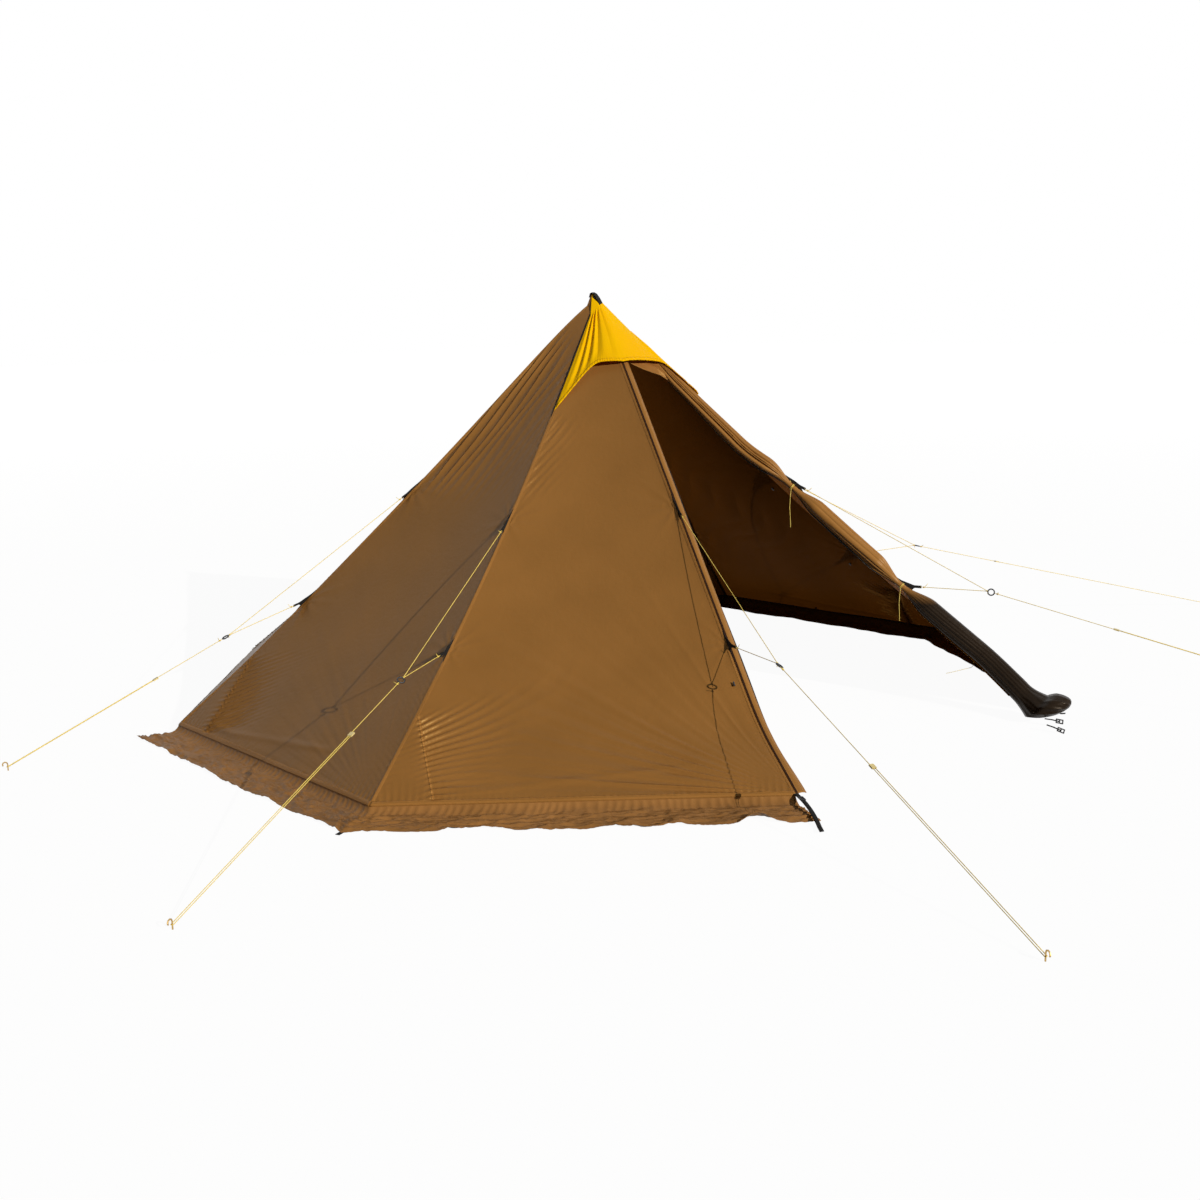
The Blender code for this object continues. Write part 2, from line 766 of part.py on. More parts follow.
def roll_shares():
    """Where the roll has rings: evenly along it, and closer beside its ties."""
    first, last = ROLL_FORM[0][0], ROLL_FORM[-1][0]
    even = [first + (last - first) * i / ROLL_RINGS for i in range(ROLL_RINGS + 1)]
    gripped = [tie + side * step for tie in TIE_SHARES for side in (-1, 1) for step in TIE_STEPS]
    return sorted([share for share in even if tie_hold(share) == 0.0] + gripped)


def make_roll():
    bm = bmesh.new()
    loops = []
    for share in roll_shares():
        verts = [bm.verts.new(point) for point in roll_ring(share)]
        loops.append([bm.edges.new(pair) for pair in zip(verts, verts[1:] + verts[:1])])
    for near, far in zip(loops, loops[1:]):
        bmesh.ops.bridge_loops(bm, edges=[*near, *far])
    bmesh.ops.holes_fill(bm, edges=[*loops[0], *loops[-1]], sides=ROLL_POINTS)
    mesh = mesh_from(bm, "door_roll")
    smooth(mesh, 60.0)
    add_object("door_roll", mesh, "canopy_cloth")


def tie_route(share, tail):
    """From the ridge's seam, one and a half turns round the roll, then down as a loose tail."""
    down, over, out = roll_frame()
    centre = roll_centre(share)
    loop = (roll_radius(share) + CORD / 2 + TOUCH) / math.cos(math.pi / TIE_SIDES)
    seam = ridge(DOOR + 1, share) + over * (CORD / 2 + SEAM_GAP) - out * CLOTH / 2
    lead = (centre - over * loop - seam) / 2
    points = [seam - down * 3 * CORD, seam + lead - out * CORD - down * 2 * CORD]
    steps = int(TIE_TURNS * TIE_SIDES)
    for i in range(steps + 1):
        angle = math.pi - math.tau * i / TIE_SIDES
        drift = down * CORD * (1.6 * i / TIE_SIDES - 0.8)
        points.append(centre + (over * math.cos(angle) + out * math.sin(angle)) * loop + drift)
    last = points[-1]
    for part, sway in TIE_SWAY:
        points.append(last - Vector((0, 0, tail * part)) + over * sway)
    return points


def make_ties():
    for name, share, tail in zip(("upper", "lower"), TIE_SHARES, TIE_TAILS):
        node = f"door_tie_{name}"
        add_object(node, tube_curve(node, tie_route(share, tail), CORD), "yellow_cord")


# Guying


def guy_direction(k):
    return outward(azimuth(k) + math.radians(GUY_TURN[k]))


def ring_centre(k):
    return guy_direction(k) * RING_REACH + Vector((0, 0, RING_HEIGHT + RING_RAISE[k]))


def gusset(k, share):
    """The outline of a gusset, its tip and the way its cord leaves."""
    middle = ridge(k, share)
    half = GUSSET_BASE / 2 / corner_radius(k)
    along = (ridge(k, share + half) - ridge(k, share - half)).normalized()
    pull = (ring_centre(k) - middle).normalized()
    rise = (pull - along * pull.dot(along)).normalized()
    base = rise * 2 * TOUCH
    tip = middle + pull * GUSSET_REACH
    aside = (along - pull * along.dot(pull)).normalized() * GUSSET_TIP / 2
    outline = [ridge(k, share - half) + base, tip - aside, tip + aside, ridge(k, share + half) + base]
    return outline, tip, pull, along.cross(rise).normalized()


def plain(name, mesh):
    obj = bpy.data.objects.new(name, mesh)
    PARTS.objects.link(obj)
    return obj


def gusset_body(k, share, name):
    outline, _, _, normal = gusset(k, share)
    bm = bmesh.new()
    prism(bm, outline, normal * GUSSET_THICK)
    return plain(name, mesh_from(bm, name))


def ring_body(k):
    """The ring that a bridle and its guy line are tied to, in its ridge's upright plane."""
    bm = bmesh.new()
    major = (RING_OUTER - RING_SECTION) / 2
    _, _, end, flat, _ = line_ends(k)
    toward = end - ring_centre(k)
    toward = (toward - flat * toward.dot(flat)).normalized()
    section = bmesh.ops.create_circle(
        bm,
        cap_ends=False,
        segments=8,
        radius=RING_SECTION / 2,
        matrix=frame_at(ring_centre(k) + toward * major, toward, flat),
    )["verts"]
    edges = list({edge for vert in section for edge in vert.link_edges})
    bmesh.ops.spin(
        bm,
        geom=[*section, *edges],
        cent=ring_centre(k),
        axis=flat,
        angle=math.tau,
        steps=16,
        use_merge=True,
        use_duplicate=False,
    )
    bmesh.ops.remove_doubles(bm, verts=bm.verts, dist=1e-6)
    return plain(f"ring_{k}", mesh_from(bm, f"ring_{k}"))


def make_bridles():
    """Each bridle with the two gussets that it is sewn to and the ring that it is tied to."""
    for k in GUYED:
        node = f"guy_bridle_{k}"
        upper = gusset_body(k, GUSSET_SHARES[0], node)
        upper.data.materials.append(make_material(node, "yellow_cord"))
        combine(upper, gusset_body(k, GUSSET_SHARES[1], f"gusset_{k}"), "UNION")
        for number, share in enumerate(GUSSET_SHARES):
            _, tip, pull, _ = gusset(k, share)
            flat = guy_direction(k).cross(Vector((0, 0, 1)))
            reach = tip - ring_centre(k)
            knot = (reach - flat * reach.dot(flat)).normalized() * (RING_OUTER - RING_SECTION) / 2
            bm = bmesh.new()
            add_tube(bm, [tip - pull * GUSSET_TIP / 2, ring_centre(k) + knot], CORD)
            name = f"bridle_{k}_{number}"
            combine(upper, plain(name, mesh_from(bm, name)), "UNION")
        combine(upper, ring_body(k), "UNION")


def ring_touch(k, toward):
    """Where a cord from the given point meets the outside of ring k."""
    centre = ring_centre(k)
    return centre + (toward - centre).normalized() * (RING_OUTER / 2 + TOUCH)


def line_ends(k):
    """The main line's two ends: beside the peg's rod and at the ring."""
    away = guy_direction(k)
    side = away.cross(Vector((0, 0, 1)))
    beside = PEG_ROD / 2 + CORD / 2 + TOUCH
    rod_place = away * PEG_REACH[k] + Vector((0, 0, PEG_LINE_HEIGHT))
    start = rod_place + side * beside
    return rod_place, start, ring_touch(k, start), side, beside


def tensioner_place(k):
    _, start, end, _, _ = line_ends(k)
    return end + (start - end).normalized() * TENSIONER_DROP[k]


def make_lines():
    """Each guy line runs from its ring to its peg, round the peg and back to its tensioner."""
    for k in GUYED:
        rod_place, start, end, side, beside = line_ends(k)
        along = (end - start).normalized()
        away = guy_direction(k)
        turns = [math.pi / 4 * step for step in range(5)]
        loop = [rod_place + (side * math.cos(a) + away * math.sin(a)) * beside for a in turns]
        over = (side - along * side.dot(along)).normalized()
        second = start - over * 2 * beside
        back = second + along * (tensioner_place(k) - start).length
        straight = along * LINE_STRAIGHT
        route = [end, start + straight, *loop, second + straight, back]
        node = f"guy_line_{k}"
        add_object(node, tube_curve(node, route, CORD), "yellow_cord")


def make_tensioners():
    for k in GUYED:
        _, start, end, side, beside = line_ends(k)
        along = (end - start).normalized()
        over = (side - along * side.dot(along)).normalized()
        home = frame_at(tensioner_place(k) - over * beside, along, over)
        node = f"line_tensioner_{k}"
        body = block(node, TENSIONER_SIZE, home)
        body.data.materials.append(make_material(node, "black_plastic"))
        for number, way in enumerate((-1, 1)):
            bore = CORD / 2 + TENSIONER_PLAY
            hole = home @ Matrix.Translation((0, way * beside, 0))
            combine(body, rod(f"cut_{k}_{number}", bore, 2 * TENSIONER_SIZE[0], hole, 8), "DIFFERENCE")


def make_guy_pegs():
    """The part of each peg that stands above the ground: its rod and its hook."""
    for k in GUYED:
        away = guy_direction(k)
        foot = away * PEG_REACH[k]
        points = [foot, foot + Vector((0, 0, PEG_RISE))]
        centre = points[-1] + away * PEG_HOOK
        for degrees in PEG_TURNS:
            turn = math.radians(degrees)
            points.append(centre - away * PEG_HOOK * math.cos(turn) + Vector((0, 0, PEG_HOOK * math.sin(turn))))
        node = f"guy_peg_{k}"
        add_object(node, tube_curve(node, points, PEG_ROD), "peg_metal")


# Corners


def strap_line(k, tucked):
    """The corner strap's top edge: from the hem to the ground, in the ridge's upright plane."""
    away = outward(azimuth(k))
    start = away * corner_radius(k) + Vector((0, 0, HEM_HEIGHT - CLOTH + TOUCH))
    start += away * 4 * TOUCH if not tucked else away * -CLOTH - Vector((0, 0, 3 * TOUCH))
    end = away * (corner_radius(k) + STRAP_REACH[k]) + Vector((0, 0, STRAP_END_HEIGHT))
    return away, start, end


def make_strap(k, tucked):
    away, start, end = strap_line(k, tucked)
    side = away.cross(Vector((0, 0, 1)))
    down = side.cross(end - start).normalized() * -STRAP_THICK
    bm = bmesh.new()
    prism(bm, [start, end, end + down, start + down], side * STRAP_WIDTH)
    return plain(f"strap_{k}", mesh_from(bm, f"strap_{k}"))


def make_buckles():
    """A ladder-lock buckle on the strap at each side of the doorway."""
    for k in (DOOR, DOOR + 1):
        away, start, end = strap_line(k, k in STRAP_OWNERS["back"])
        side = away.cross(Vector((0, 0, 1)))
        along = (end - start).normalized()
        up = side.cross(along).normalized()
        place = start + along * BUCKLE_PLACE + up * (TOUCH + BUCKLE_SIZE[2] / 2)
        node = f"corner_buckle_{k}"
        bm = bmesh.new()
        add_frame(bm, frame_at(place, along, side))
        add_object(node, mesh_from(bm, node), "black_plastic")


def add_frame(bm, matrix):
    """A ladder-lock buckle: a plate with two windows and a bar across its middle."""
    length, width, thick = BUCKLE_SIZE
    window, opening = BUCKLE_WINDOW
    bar = (length - 2 * window) / 3
    xs = [-length / 2, -length / 2 + bar, -length / 2 + bar + window]
    xs += [-x for x in reversed(xs)]
    ys = [-width / 2, -opening / 2, opening / 2, width / 2]
    grid = [[bm.verts.new(matrix @ Vector((x, y, -thick / 2))) for y in ys] for x in xs]
    faces = []
    for i in range(len(xs) - 1):
        for j in range(len(ys) - 1):
            if i in (1, 3) and j == 1:
                continue
            faces.append(bm.faces.new((grid[i][j], grid[i + 1][j], grid[i + 1][j + 1], grid[i][j + 1])))
    grown = bmesh.ops.extrude_face_region(bm, geom=faces)
    moved = [item for item in grown["geom"] if isinstance(item, bmesh.types.BMVert)]
    bmesh.ops.translate(bm, verts=moved, vec=matrix.to_3x3() @ Vector((0, 0, thick)))


PARTS = None
CUTTERS = None


def build():
    global PARTS, CUTTERS
    clear_scene()
    PARTS = new_collection("tent")
    CUTTERS = new_collection("cutters")
    make_walls()
    make_skirts()
    make_hood()
    make_apex()
    make_pole()
    make_door_edge()
    make_slider()
    make_roll()
    make_ties()
    make_bridles()
    make_lines()
    make_tensioners()
    make_guy_pegs()
    make_buckles()


build()
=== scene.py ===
# %% [markdown]
# # A pitched one-pole tent
#
# The tent is an eight-sided pyramid of coated cloth over one pole. Its door panel is rolled up
# and tied to the right of the doorway, a yellow hood covers the vent at the top, a snow skirt
# lies round the hem, and seven guy lines with bridles hold the ridges out.
#
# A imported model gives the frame: where each part is and what moves. This script dresses it.
# Soft parts get finer meshes that stand in for the frame's plain ones, and hard parts keep
# their own mesh and get a finish.

# %% Load the frame
import math

import bmesh
import bpy
import numpy as np
from mathutils import Matrix, Vector, noise


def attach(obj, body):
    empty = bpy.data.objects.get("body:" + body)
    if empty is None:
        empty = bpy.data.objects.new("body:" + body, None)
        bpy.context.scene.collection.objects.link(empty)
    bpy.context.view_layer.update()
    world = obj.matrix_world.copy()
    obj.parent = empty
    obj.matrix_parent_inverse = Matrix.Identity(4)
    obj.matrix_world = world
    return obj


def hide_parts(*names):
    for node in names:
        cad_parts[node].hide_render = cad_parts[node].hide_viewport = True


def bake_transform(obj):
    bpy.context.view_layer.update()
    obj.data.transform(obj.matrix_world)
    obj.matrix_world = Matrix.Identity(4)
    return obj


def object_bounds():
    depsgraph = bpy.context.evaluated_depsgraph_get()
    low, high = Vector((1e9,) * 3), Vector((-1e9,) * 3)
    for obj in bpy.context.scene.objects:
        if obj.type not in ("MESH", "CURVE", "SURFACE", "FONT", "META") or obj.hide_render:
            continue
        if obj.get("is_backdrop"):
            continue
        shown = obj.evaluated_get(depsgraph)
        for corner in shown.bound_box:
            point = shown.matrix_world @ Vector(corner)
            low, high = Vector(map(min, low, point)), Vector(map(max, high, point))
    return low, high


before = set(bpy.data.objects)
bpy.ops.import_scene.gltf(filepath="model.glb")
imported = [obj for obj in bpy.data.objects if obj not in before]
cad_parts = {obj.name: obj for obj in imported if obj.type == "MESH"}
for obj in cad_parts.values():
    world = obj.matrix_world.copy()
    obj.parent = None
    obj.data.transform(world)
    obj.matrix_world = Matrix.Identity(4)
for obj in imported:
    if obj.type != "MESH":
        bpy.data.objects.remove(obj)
cad_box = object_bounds()

# %% [markdown]
# ## Camera
#
# The camera stands where the photograph was taken from, at head height and a little over five
# metres from the nearest corner. Its axes are built one by one: forward from the turn and the
# dip, sideways from forward, and then a small roll about forward.

# %% Camera
EYE = Vector((-5.457, -5.523, 2.016))
EYE_TURN = math.radians(-44.55)
EYE_DIP = math.radians(-11.37)
EYE_ROLL = math.radians(-1.09)
SENSOR = 36.0
LENS = 43.12


def link(name, data):
    """A new object in the scene."""
    made = bpy.data.objects.new(name, data)
    bpy.context.scene.collection.objects.link(made)
    return made


def aim_camera():
    forward = Vector(
        (-math.sin(EYE_TURN) * math.cos(EYE_DIP), math.cos(EYE_TURN) * math.cos(EYE_DIP), math.sin(EYE_DIP))
    )
    right = Vector((math.cos(EYE_TURN), math.sin(EYE_TURN), 0.0))
    up = right.cross(forward)
    rolled_right = right * math.cos(EYE_ROLL) + up * math.sin(EYE_ROLL)
    rolled_up = up * math.cos(EYE_ROLL) - right * math.sin(EYE_ROLL)
    matrix = Matrix((rolled_right, rolled_up, -forward)).transposed().to_4x4()
    matrix.translation = EYE
    data = bpy.data.cameras.new("camera")
    data.lens = LENS
    data.sensor_width = SENSOR
    camera = link("camera", data)
    camera.matrix_world = matrix
    bpy.context.scene.camera = camera
    return camera


camera = aim_camera()
print("camera at", tuple(round(c, 2) for c in camera.location))

# %% [markdown]
# ## Small helpers
#
# Most pieces are linked, given their material, set to ride on a body of the frame and told which
# parts they stand in for. One function does all four.

# %% Adding pieces


def add_piece(name, data, material, replaces=(), body="root"):
    piece = link(name, data)
    piece.data.materials.append(material)
    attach(piece, body)
    if replaces:
        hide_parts(*replaces)
    return piece


def ease(low, high, x):
    """0 below low, 1 above high and a smooth step between, for a number or an array."""
    s = np.clip((np.asarray(x, float) - low) / (high - low), 0.0, 1.0)
    return s * s * (3 - 2 * s)


def steps(rows, x):
    """Smooth steps between the rows of a short table of places and values."""
    x = np.asarray(x, float)
    value = np.full(x.shape, float(rows[0][1]))
    for (x0, y0), (x1, y1) in zip(rows, rows[1:]):
        value = value + (y1 - y0) * ease(x0, x1, x)
    return value


def unit(vector):
    return vector / np.linalg.norm(vector, axis=-1, keepdims=True)


def rough(points, seed):
    """Smooth noise from -1 to 1 at each of an array of points."""
    shift = Vector((seed * 7.31, seed * 3.17, seed * 5.73))
    return np.array([noise.noise(Vector(point) + shift) for point in points])


# %% [markdown]
# ## Node groups
#
# Four effects come back in several finishes: the grid of thick threads in ripstop cloth, an
# uneven tone, the ribs of webbing and rows of stitches. Each is a node group that puts out a
# mask, a height or a colour. The shaders stay outside, in the materials, where each finish
# gives its own values.

# %% Node helpers


def new_group(name, inputs, outputs):
    """A group with its sockets. An input is given as a kind, or as a number for its usual value."""
    group = bpy.data.node_groups.new(name, "ShaderNodeTree")
    for title, kind in inputs.items():
        usual = None if isinstance(kind, str) else kind
        kind = "Float" if usual is not None else kind
        socket = group.interface.new_socket(title, in_out="INPUT", socket_type=f"NodeSocket{kind}")
        if usual is not None:
            socket.default_value = usual
    for title, kind in outputs.items():
        group.interface.new_socket(title, in_out="OUTPUT", socket_type=f"NodeSocket{kind}")
    return group, group.nodes.new("NodeGroupInput"), group.nodes.new("NodeGroupOutput")


def add_node(tree, kind, links=(), **settings):
    """A node with its settings, and links given as (input, output socket or value)."""
    made = tree.nodes.new(kind)
    for key, value in settings.items():
        setattr(made, key, value)
    for place, source in links:
        if isinstance(source, bpy.types.NodeSocket):
            tree.links.new(source, made.inputs[place])
        else:
            made.inputs[place].default_value = source
    return made


def place_group(tree, group, links):
    return add_node(tree, "ShaderNodeGroup", links, node_tree=group)


def maths(tree, operation, first, second=0.0):
    return add_node(tree, "ShaderNodeMath", [(0, first), (1, second)], operation=operation).outputs[0]


def spread(tree, value, low, high):
    """0 to 1 as a value goes from low to high, and no further."""
    links = [("Value", value), ("From Min", low), ("From Max", high)]
    return add_node(tree, "ShaderNodeMapRange", links).outputs[0]


def mixed_colour(tree, share, first, second):
    links = [("Factor", share), (6, first), (7, second)]
    return add_node(tree, "ShaderNodeMix", links, data_type="RGBA").outputs[2]


def darker(colour, share):
    return [c * share for c in colour[:3]] + [1]


# %% Ripstop, tone, ribs and stitches
# Span of the noise over which the tone goes from light to dark
PATCHY = (0.3, 0.7)
# Distance from a row's middle where its thread ends and where it is whole, and the gap's share of a stitch
THREAD_EDGE = (0.0009, 0.0004)
STITCH_GAP = 0.22


def ripstop_group():
    """Raised threads in a square grid, read from a map in metres."""
    inputs = {"Vector": "Vector", "Spacing": 0.006, "Thread": 0.12}
    group, start, end = new_group("ripstop", inputs, {"Lines": "Float"})
    per_metre = maths(group, "DIVIDE", 1.0, start.outputs["Spacing"])
    scaled = add_node(group, "ShaderNodeVectorMath", [(0, start.outputs["Vector"])], operation="SCALE")
    group.links.new(per_metre, scaled.inputs["Scale"])
    part = add_node(group, "ShaderNodeVectorMath", [(0, scaled.outputs[0])], operation="FRACTION")
    axes = add_node(group, "ShaderNodeSeparateXYZ", [(0, part.outputs[0])])
    lines = []
    for axis in ("X", "Y"):
        middle = maths(group, "ABSOLUTE", maths(group, "SUBTRACT", axes.outputs[axis], 0.5))
        inner = maths(group, "SUBTRACT", 0.5, start.outputs["Thread"])
        lines.append(spread(group, middle, inner, 0.5))
    group.links.new(maths(group, "MAXIMUM", *lines), end.inputs["Lines"])
    return group


def tone_group():
    """A colour that drifts between two tones in soft patches."""
    inputs = {"Vector": "Vector", "Scale": 3.0, "Light": "Color", "Dark": "Color"}
    group, start, end = new_group("tone", inputs, {"Color": "Color", "Patch": "Float"})
    links = [("Vector", start.outputs["Vector"]), ("Scale", start.outputs["Scale"]), ("Detail", 4.0)]
    cloud = add_node(group, "ShaderNodeTexNoise", links)
    patch = spread(group, cloud.outputs["Fac"], *PATCHY)
    colour = mixed_colour(group, patch, start.outputs["Light"], start.outputs["Dark"])
    group.links.new(colour, end.inputs["Color"])
    group.links.new(patch, end.inputs["Patch"])
    return group


def ribs_group():
    """Rounded ribs across one direction of a map in metres."""
    group, start, end = new_group("ribs", {"Vector": "Vector", "Spacing": 0.002}, {"Height": "Float"})
    axes = add_node(group, "ShaderNodeSeparateXYZ", [(0, start.outputs["Vector"])])
    turns = maths(group, "DIVIDE", axes.outputs["Y"], start.outputs["Spacing"])
    wave = maths(group, "SINE", maths(group, "MULTIPLY", turns, math.tau))
    group.links.new(maths(group, "ADD", maths(group, "MULTIPLY", wave, 0.5), 0.5), end.inputs["Height"])
    return group


def stitch_group():
    """Two rows of stitches along a strip, from a map of across and along in metres."""
    inputs = {"Vector": "Vector", "Rows": 0.005, "Pitch": 0.0035}
    group, start, end = new_group("stitches", inputs, {"Thread": "Float"})
    axes = add_node(group, "ShaderNodeSeparateXYZ", [(0, start.outputs["Vector"])])
    aside = maths(group, "ABSOLUTE", axes.outputs["X"])
    away = maths(group, "ABSOLUTE", maths(group, "SUBTRACT", aside, start.outputs["Rows"]))
    row = spread(group, away, *THREAD_EDGE)
    dash = maths(group, "FRACT", maths(group, "DIVIDE", axes.outputs["Y"], start.outputs["Pitch"]))
    stitch = maths(group, "GREATER_THAN", dash, STITCH_GAP)
    group.links.new(maths(group, "MULTIPLY", row, stitch), end.inputs["Thread"])
    return group


RIPSTOP, TONE, RIBS, STITCH = ripstop_group(), tone_group(), ribs_group(), stitch_group()
print("node groups:", [group.name for group in (RIPSTOP, TONE, RIBS, STITCH)])

# %% [markdown]
# ## Coated cloth
#
# The canopy is thin coated cloth. Its gloss is tinted gold, because light goes through the clear
# coating and picks up the dye under it. The cloth also lets sunlight through, which is why the
# inside glows a deep red brown. The material mixes a Principled shader with a Translucent one.
# The cloth meshes are two thin layers, so light that comes through is tinted twice. The inner
# layer of a wall is the cloth's uncoated side, which is matt; its tones are painted darker, as
# painted shade for the dim inside of the tent.

# %% Cloth materials


def new_material(name, roughness, metallic=0.0, specular=0.5, sheen=0.0):
    material = bpy.data.materials.new(name)
    material.use_nodes = True
    shader = material.node_tree.nodes["Principled BSDF"]
    shader.inputs["Roughness"].default_value = roughness
    shader.inputs["Metallic"].default_value = metallic
    shader.inputs["Specular IOR Level"].default_value = specular
    shader.inputs["Sheen Weight"].default_value = sheen
    return material, material.node_tree, shader


def cover(tree, shader, colour, height, strength, depth):
    """Puts a colour and a relief on a shader, and gives the relief back."""
    bump = add_node(tree, "ShaderNodeBump", [("Height", height), ("Strength", strength), ("Distance", depth)])
    tree.links.new(colour, shader.inputs["Base Color"])
    tree.links.new(bump.outputs[0], shader.inputs["Normal"])
    return bump.outputs[0]


def cloth_map(tree):
    return add_node(tree, "ShaderNodeUVMap", uv_map="cloth").outputs[0]


CLOTH_TONE_SCALE = 2.6
CRINKLE_SCALE = 38.0
THREAD_DARK = 0.45
THREAD_HIGH = 5.0
# Strength and depth of the relief
CLOTH_BUMP = (0.35, 0.00025)
GOLD_GLOSS = (1.0, 0.66, 0.24, 1)
DYE_THROUGH = (0.95, 0.52, 0.14, 1)


def coated_cloth(
    name, light, dark, share, roughness, gloss, crinkle, rows=0.0, tint=GOLD_GLOSS, through=DYE_THROUGH
):
    """Cloth with a ripstop grid, uneven tone, fine crinkles, and rows of stitches if asked."""
    material, tree, shader = new_material(name, roughness, specular=gloss)
    shader.inputs["Specular Tint"].default_value = tint
    here = cloth_map(tree)
    links = [("Vector", here), ("Scale", CLOTH_TONE_SCALE), ("Light", light), ("Dark", dark)]
    tone = place_group(tree, TONE, links)
    grid = place_group(tree, RIPSTOP, [("Vector", here)])
    fine = add_node(tree, "ShaderNodeTexNoise", [("Vector", here), ("Scale", CRINKLE_SCALE), ("Detail", 5.0)])
    relief = maths(tree, "ADD", maths(tree, "MULTIPLY", fine.outputs["Fac"], crinkle), grid.outputs["Lines"])
    colour = tone.outputs["Color"]
    if rows:
        thread = place_group(tree, STITCH, [("Vector", here), ("Rows", rows)]).outputs["Thread"]
        colour = mixed_colour(tree, thread, colour, darker(dark, THREAD_DARK))
        relief = maths(tree, "SUBTRACT", relief, maths(tree, "MULTIPLY", thread, THREAD_HIGH))
    bump = cover(tree, shader, colour, relief, *CLOTH_BUMP)
    glow = add_node(tree, "ShaderNodeBsdfTranslucent", [("Color", through), ("Normal", bump)])
    mix = add_node(tree, "ShaderNodeMixShader", [(0, share), (1, shader.outputs[0]), (2, glow.outputs[0])])
    tree.links.new(mix.outputs[0], tree.nodes["Material Output"].inputs["Surface"])
    return material


# Light and dark tone. Then the share that lets light through, roughness, gloss, crinkle and stitch rows
OUTER = (0.355, 0.163, 0.040, 1), (0.305, 0.139, 0.033, 1)
# The inner tones are the outer dye painted about three times darker: painted shade for the tent's dim inside,
# used also by the inner seams and the door's facing
INNER_SHADED = (0.11, 0.044, 0.008, 1), (0.09, 0.036, 0.006, 1)
CANOPY = coated_cloth("canopy_cloth", *OUTER, 0.34, 0.33, 0.45, 14.0)
INSIDE_SHADED = coated_cloth("canopy_inside_shaded", *INNER_SHADED, 0.20, 0.60, 0.02, 14.0)
SEAM = coated_cloth("canopy_seam", *OUTER, 0.20, 0.42, 0.35, 8.0, 0.0055)
SEAM_INSIDE_SHADED = coated_cloth("seam_inside_shaded", *INNER_SHADED, 0.20, 0.60, 0.02, 8.0, 0.0055)
SKIRT_TONES = (0.34, 0.160, 0.048, 1), (0.26, 0.120, 0.034, 1)
SKIRT = coated_cloth("skirt_cloth", *SKIRT_TONES, 0.16, 0.42, 0.30, 14.0)
# The tucked run lies in the tent's shade, and its tones are painted darker than the laid out run's, as
# painted shade
TUCKED_SHADED_TONES = (0.15, 0.085, 0.020, 1), (0.12, 0.066, 0.015, 1)
TUCKED_SHADED = coated_cloth("tucked_shaded_cloth", *TUCKED_SHADED_TONES, 0.12, 0.6, 0.02, 8.0)
HOOD_TONES = (1.0, 0.62, 0.002, 1), (1.0, 0.54, 0.002, 1)
HOOD_GLOSS = (1.0, 0.62, 0.03, 1)
HOOD_THROUGH = (1.0, 0.55, 0.01, 1)
HOOD = coated_cloth("hood_cloth", *HOOD_TONES, 0.22, 0.50, 0.10, 8.0, 0.0, HOOD_GLOSS, HOOD_THROUGH)
print("cloth:", CANOPY.name, SEAM.name, SKIRT.name, HOOD.name)

# %% [markdown]
# ## Webbing, cord, plastic and metal
#
# The rest are small parts: ribbed black webbing, yellow braided cord, moulded plastic with a
# faint grain, the satin tube of the pole and the anodised pegs.

# %% Other materials
RIB_SPACING = 0.0022
WEBBING_SCALE = 60.0
WEBBING_BUMP = (0.5, 0.0004)
GRAIN_STRENGTH = 0.4


def webbing(name, colour):
    material, tree, shader = new_material(name, 0.85, specular=0.12)
    here = cloth_map(tree)
    ribs = place_group(tree, RIBS, [("Vector", here), ("Spacing", RIB_SPACING)])
    links = [("Vector", here), ("Scale", WEBBING_SCALE), ("Light", colour), ("Dark", darker(colour, 0.6))]
    tone = place_group(tree, TONE, links)
    cover(tree, shader, tone.outputs["Color"], ribs.outputs[0], *WEBBING_BUMP)
    return material


def grained(name, light, dark, roughness, metallic=0.0, scale=400.0, depth=0.00008, stretch=(1, 1, 1)):
    """A hard finish whose tone and surface follow one fine noise."""
    material, tree, shader = new_material(name, roughness, metallic)
    here = add_node(tree, "ShaderNodeTexCoord").outputs["Object"]
    turned = add_node(tree, "ShaderNodeMapping", [("Vector", here), ("Scale", stretch)]).outputs[0]
    tone = place_group(tree, TONE, [("Vector", turned), ("Scale", scale), ("Light", light), ("Dark", dark)])
    cover(tree, shader, tone.outputs["Color"], tone.outputs["Patch"], GRAIN_STRENGTH, depth)
    return material


WEBBING = webbing("black_webbing", (0.018, 0.017, 0.016, 1))
PLASTIC = grained("black_plastic", (0.020, 0.020, 0.021, 1), (0.013, 0.013, 0.014, 1), 0.42)
CORD = grained("yellow_cord", (0.92, 0.72, 0.17, 1), (0.74, 0.54, 0.10, 1), 0.62, scale=700.0, depth=0.0004)
DRAWN = (1, 1, 0.02)
TUBE = grained("pole_metal", (0.60, 0.60, 0.62, 1), (0.52, 0.52, 0.54, 1), 0.30, 1.0, 90.0, 0.00003, DRAWN)
PEG = grained("peg_metal", (0.62, 0.42, 0.16, 1), (0.40, 0.25, 0.08, 1), 0.35, 1.0, 300.0)
TENSIONER = grained("tensioner_plastic", (0.80, 0.66, 0.30, 1), (0.66, 0.52, 0.20, 1), 0.35)
RING = grained("ring_metal", (0.022, 0.022, 0.023, 1), (0.012, 0.012, 0.012, 1), 0.45, 0.0, 300.0)

# %% [markdown]
# ## The shape of the canopy
#
# Eight ridges fall from the apex to the hem's corners. Each is turned, pegged in or out, bowed
# and slack at its knee by its own amount, as the frame's ridges are. The functions here take
# arrays of shares, from 0 at the apex to 1 at the hem, so that a whole sheet is placed at once.

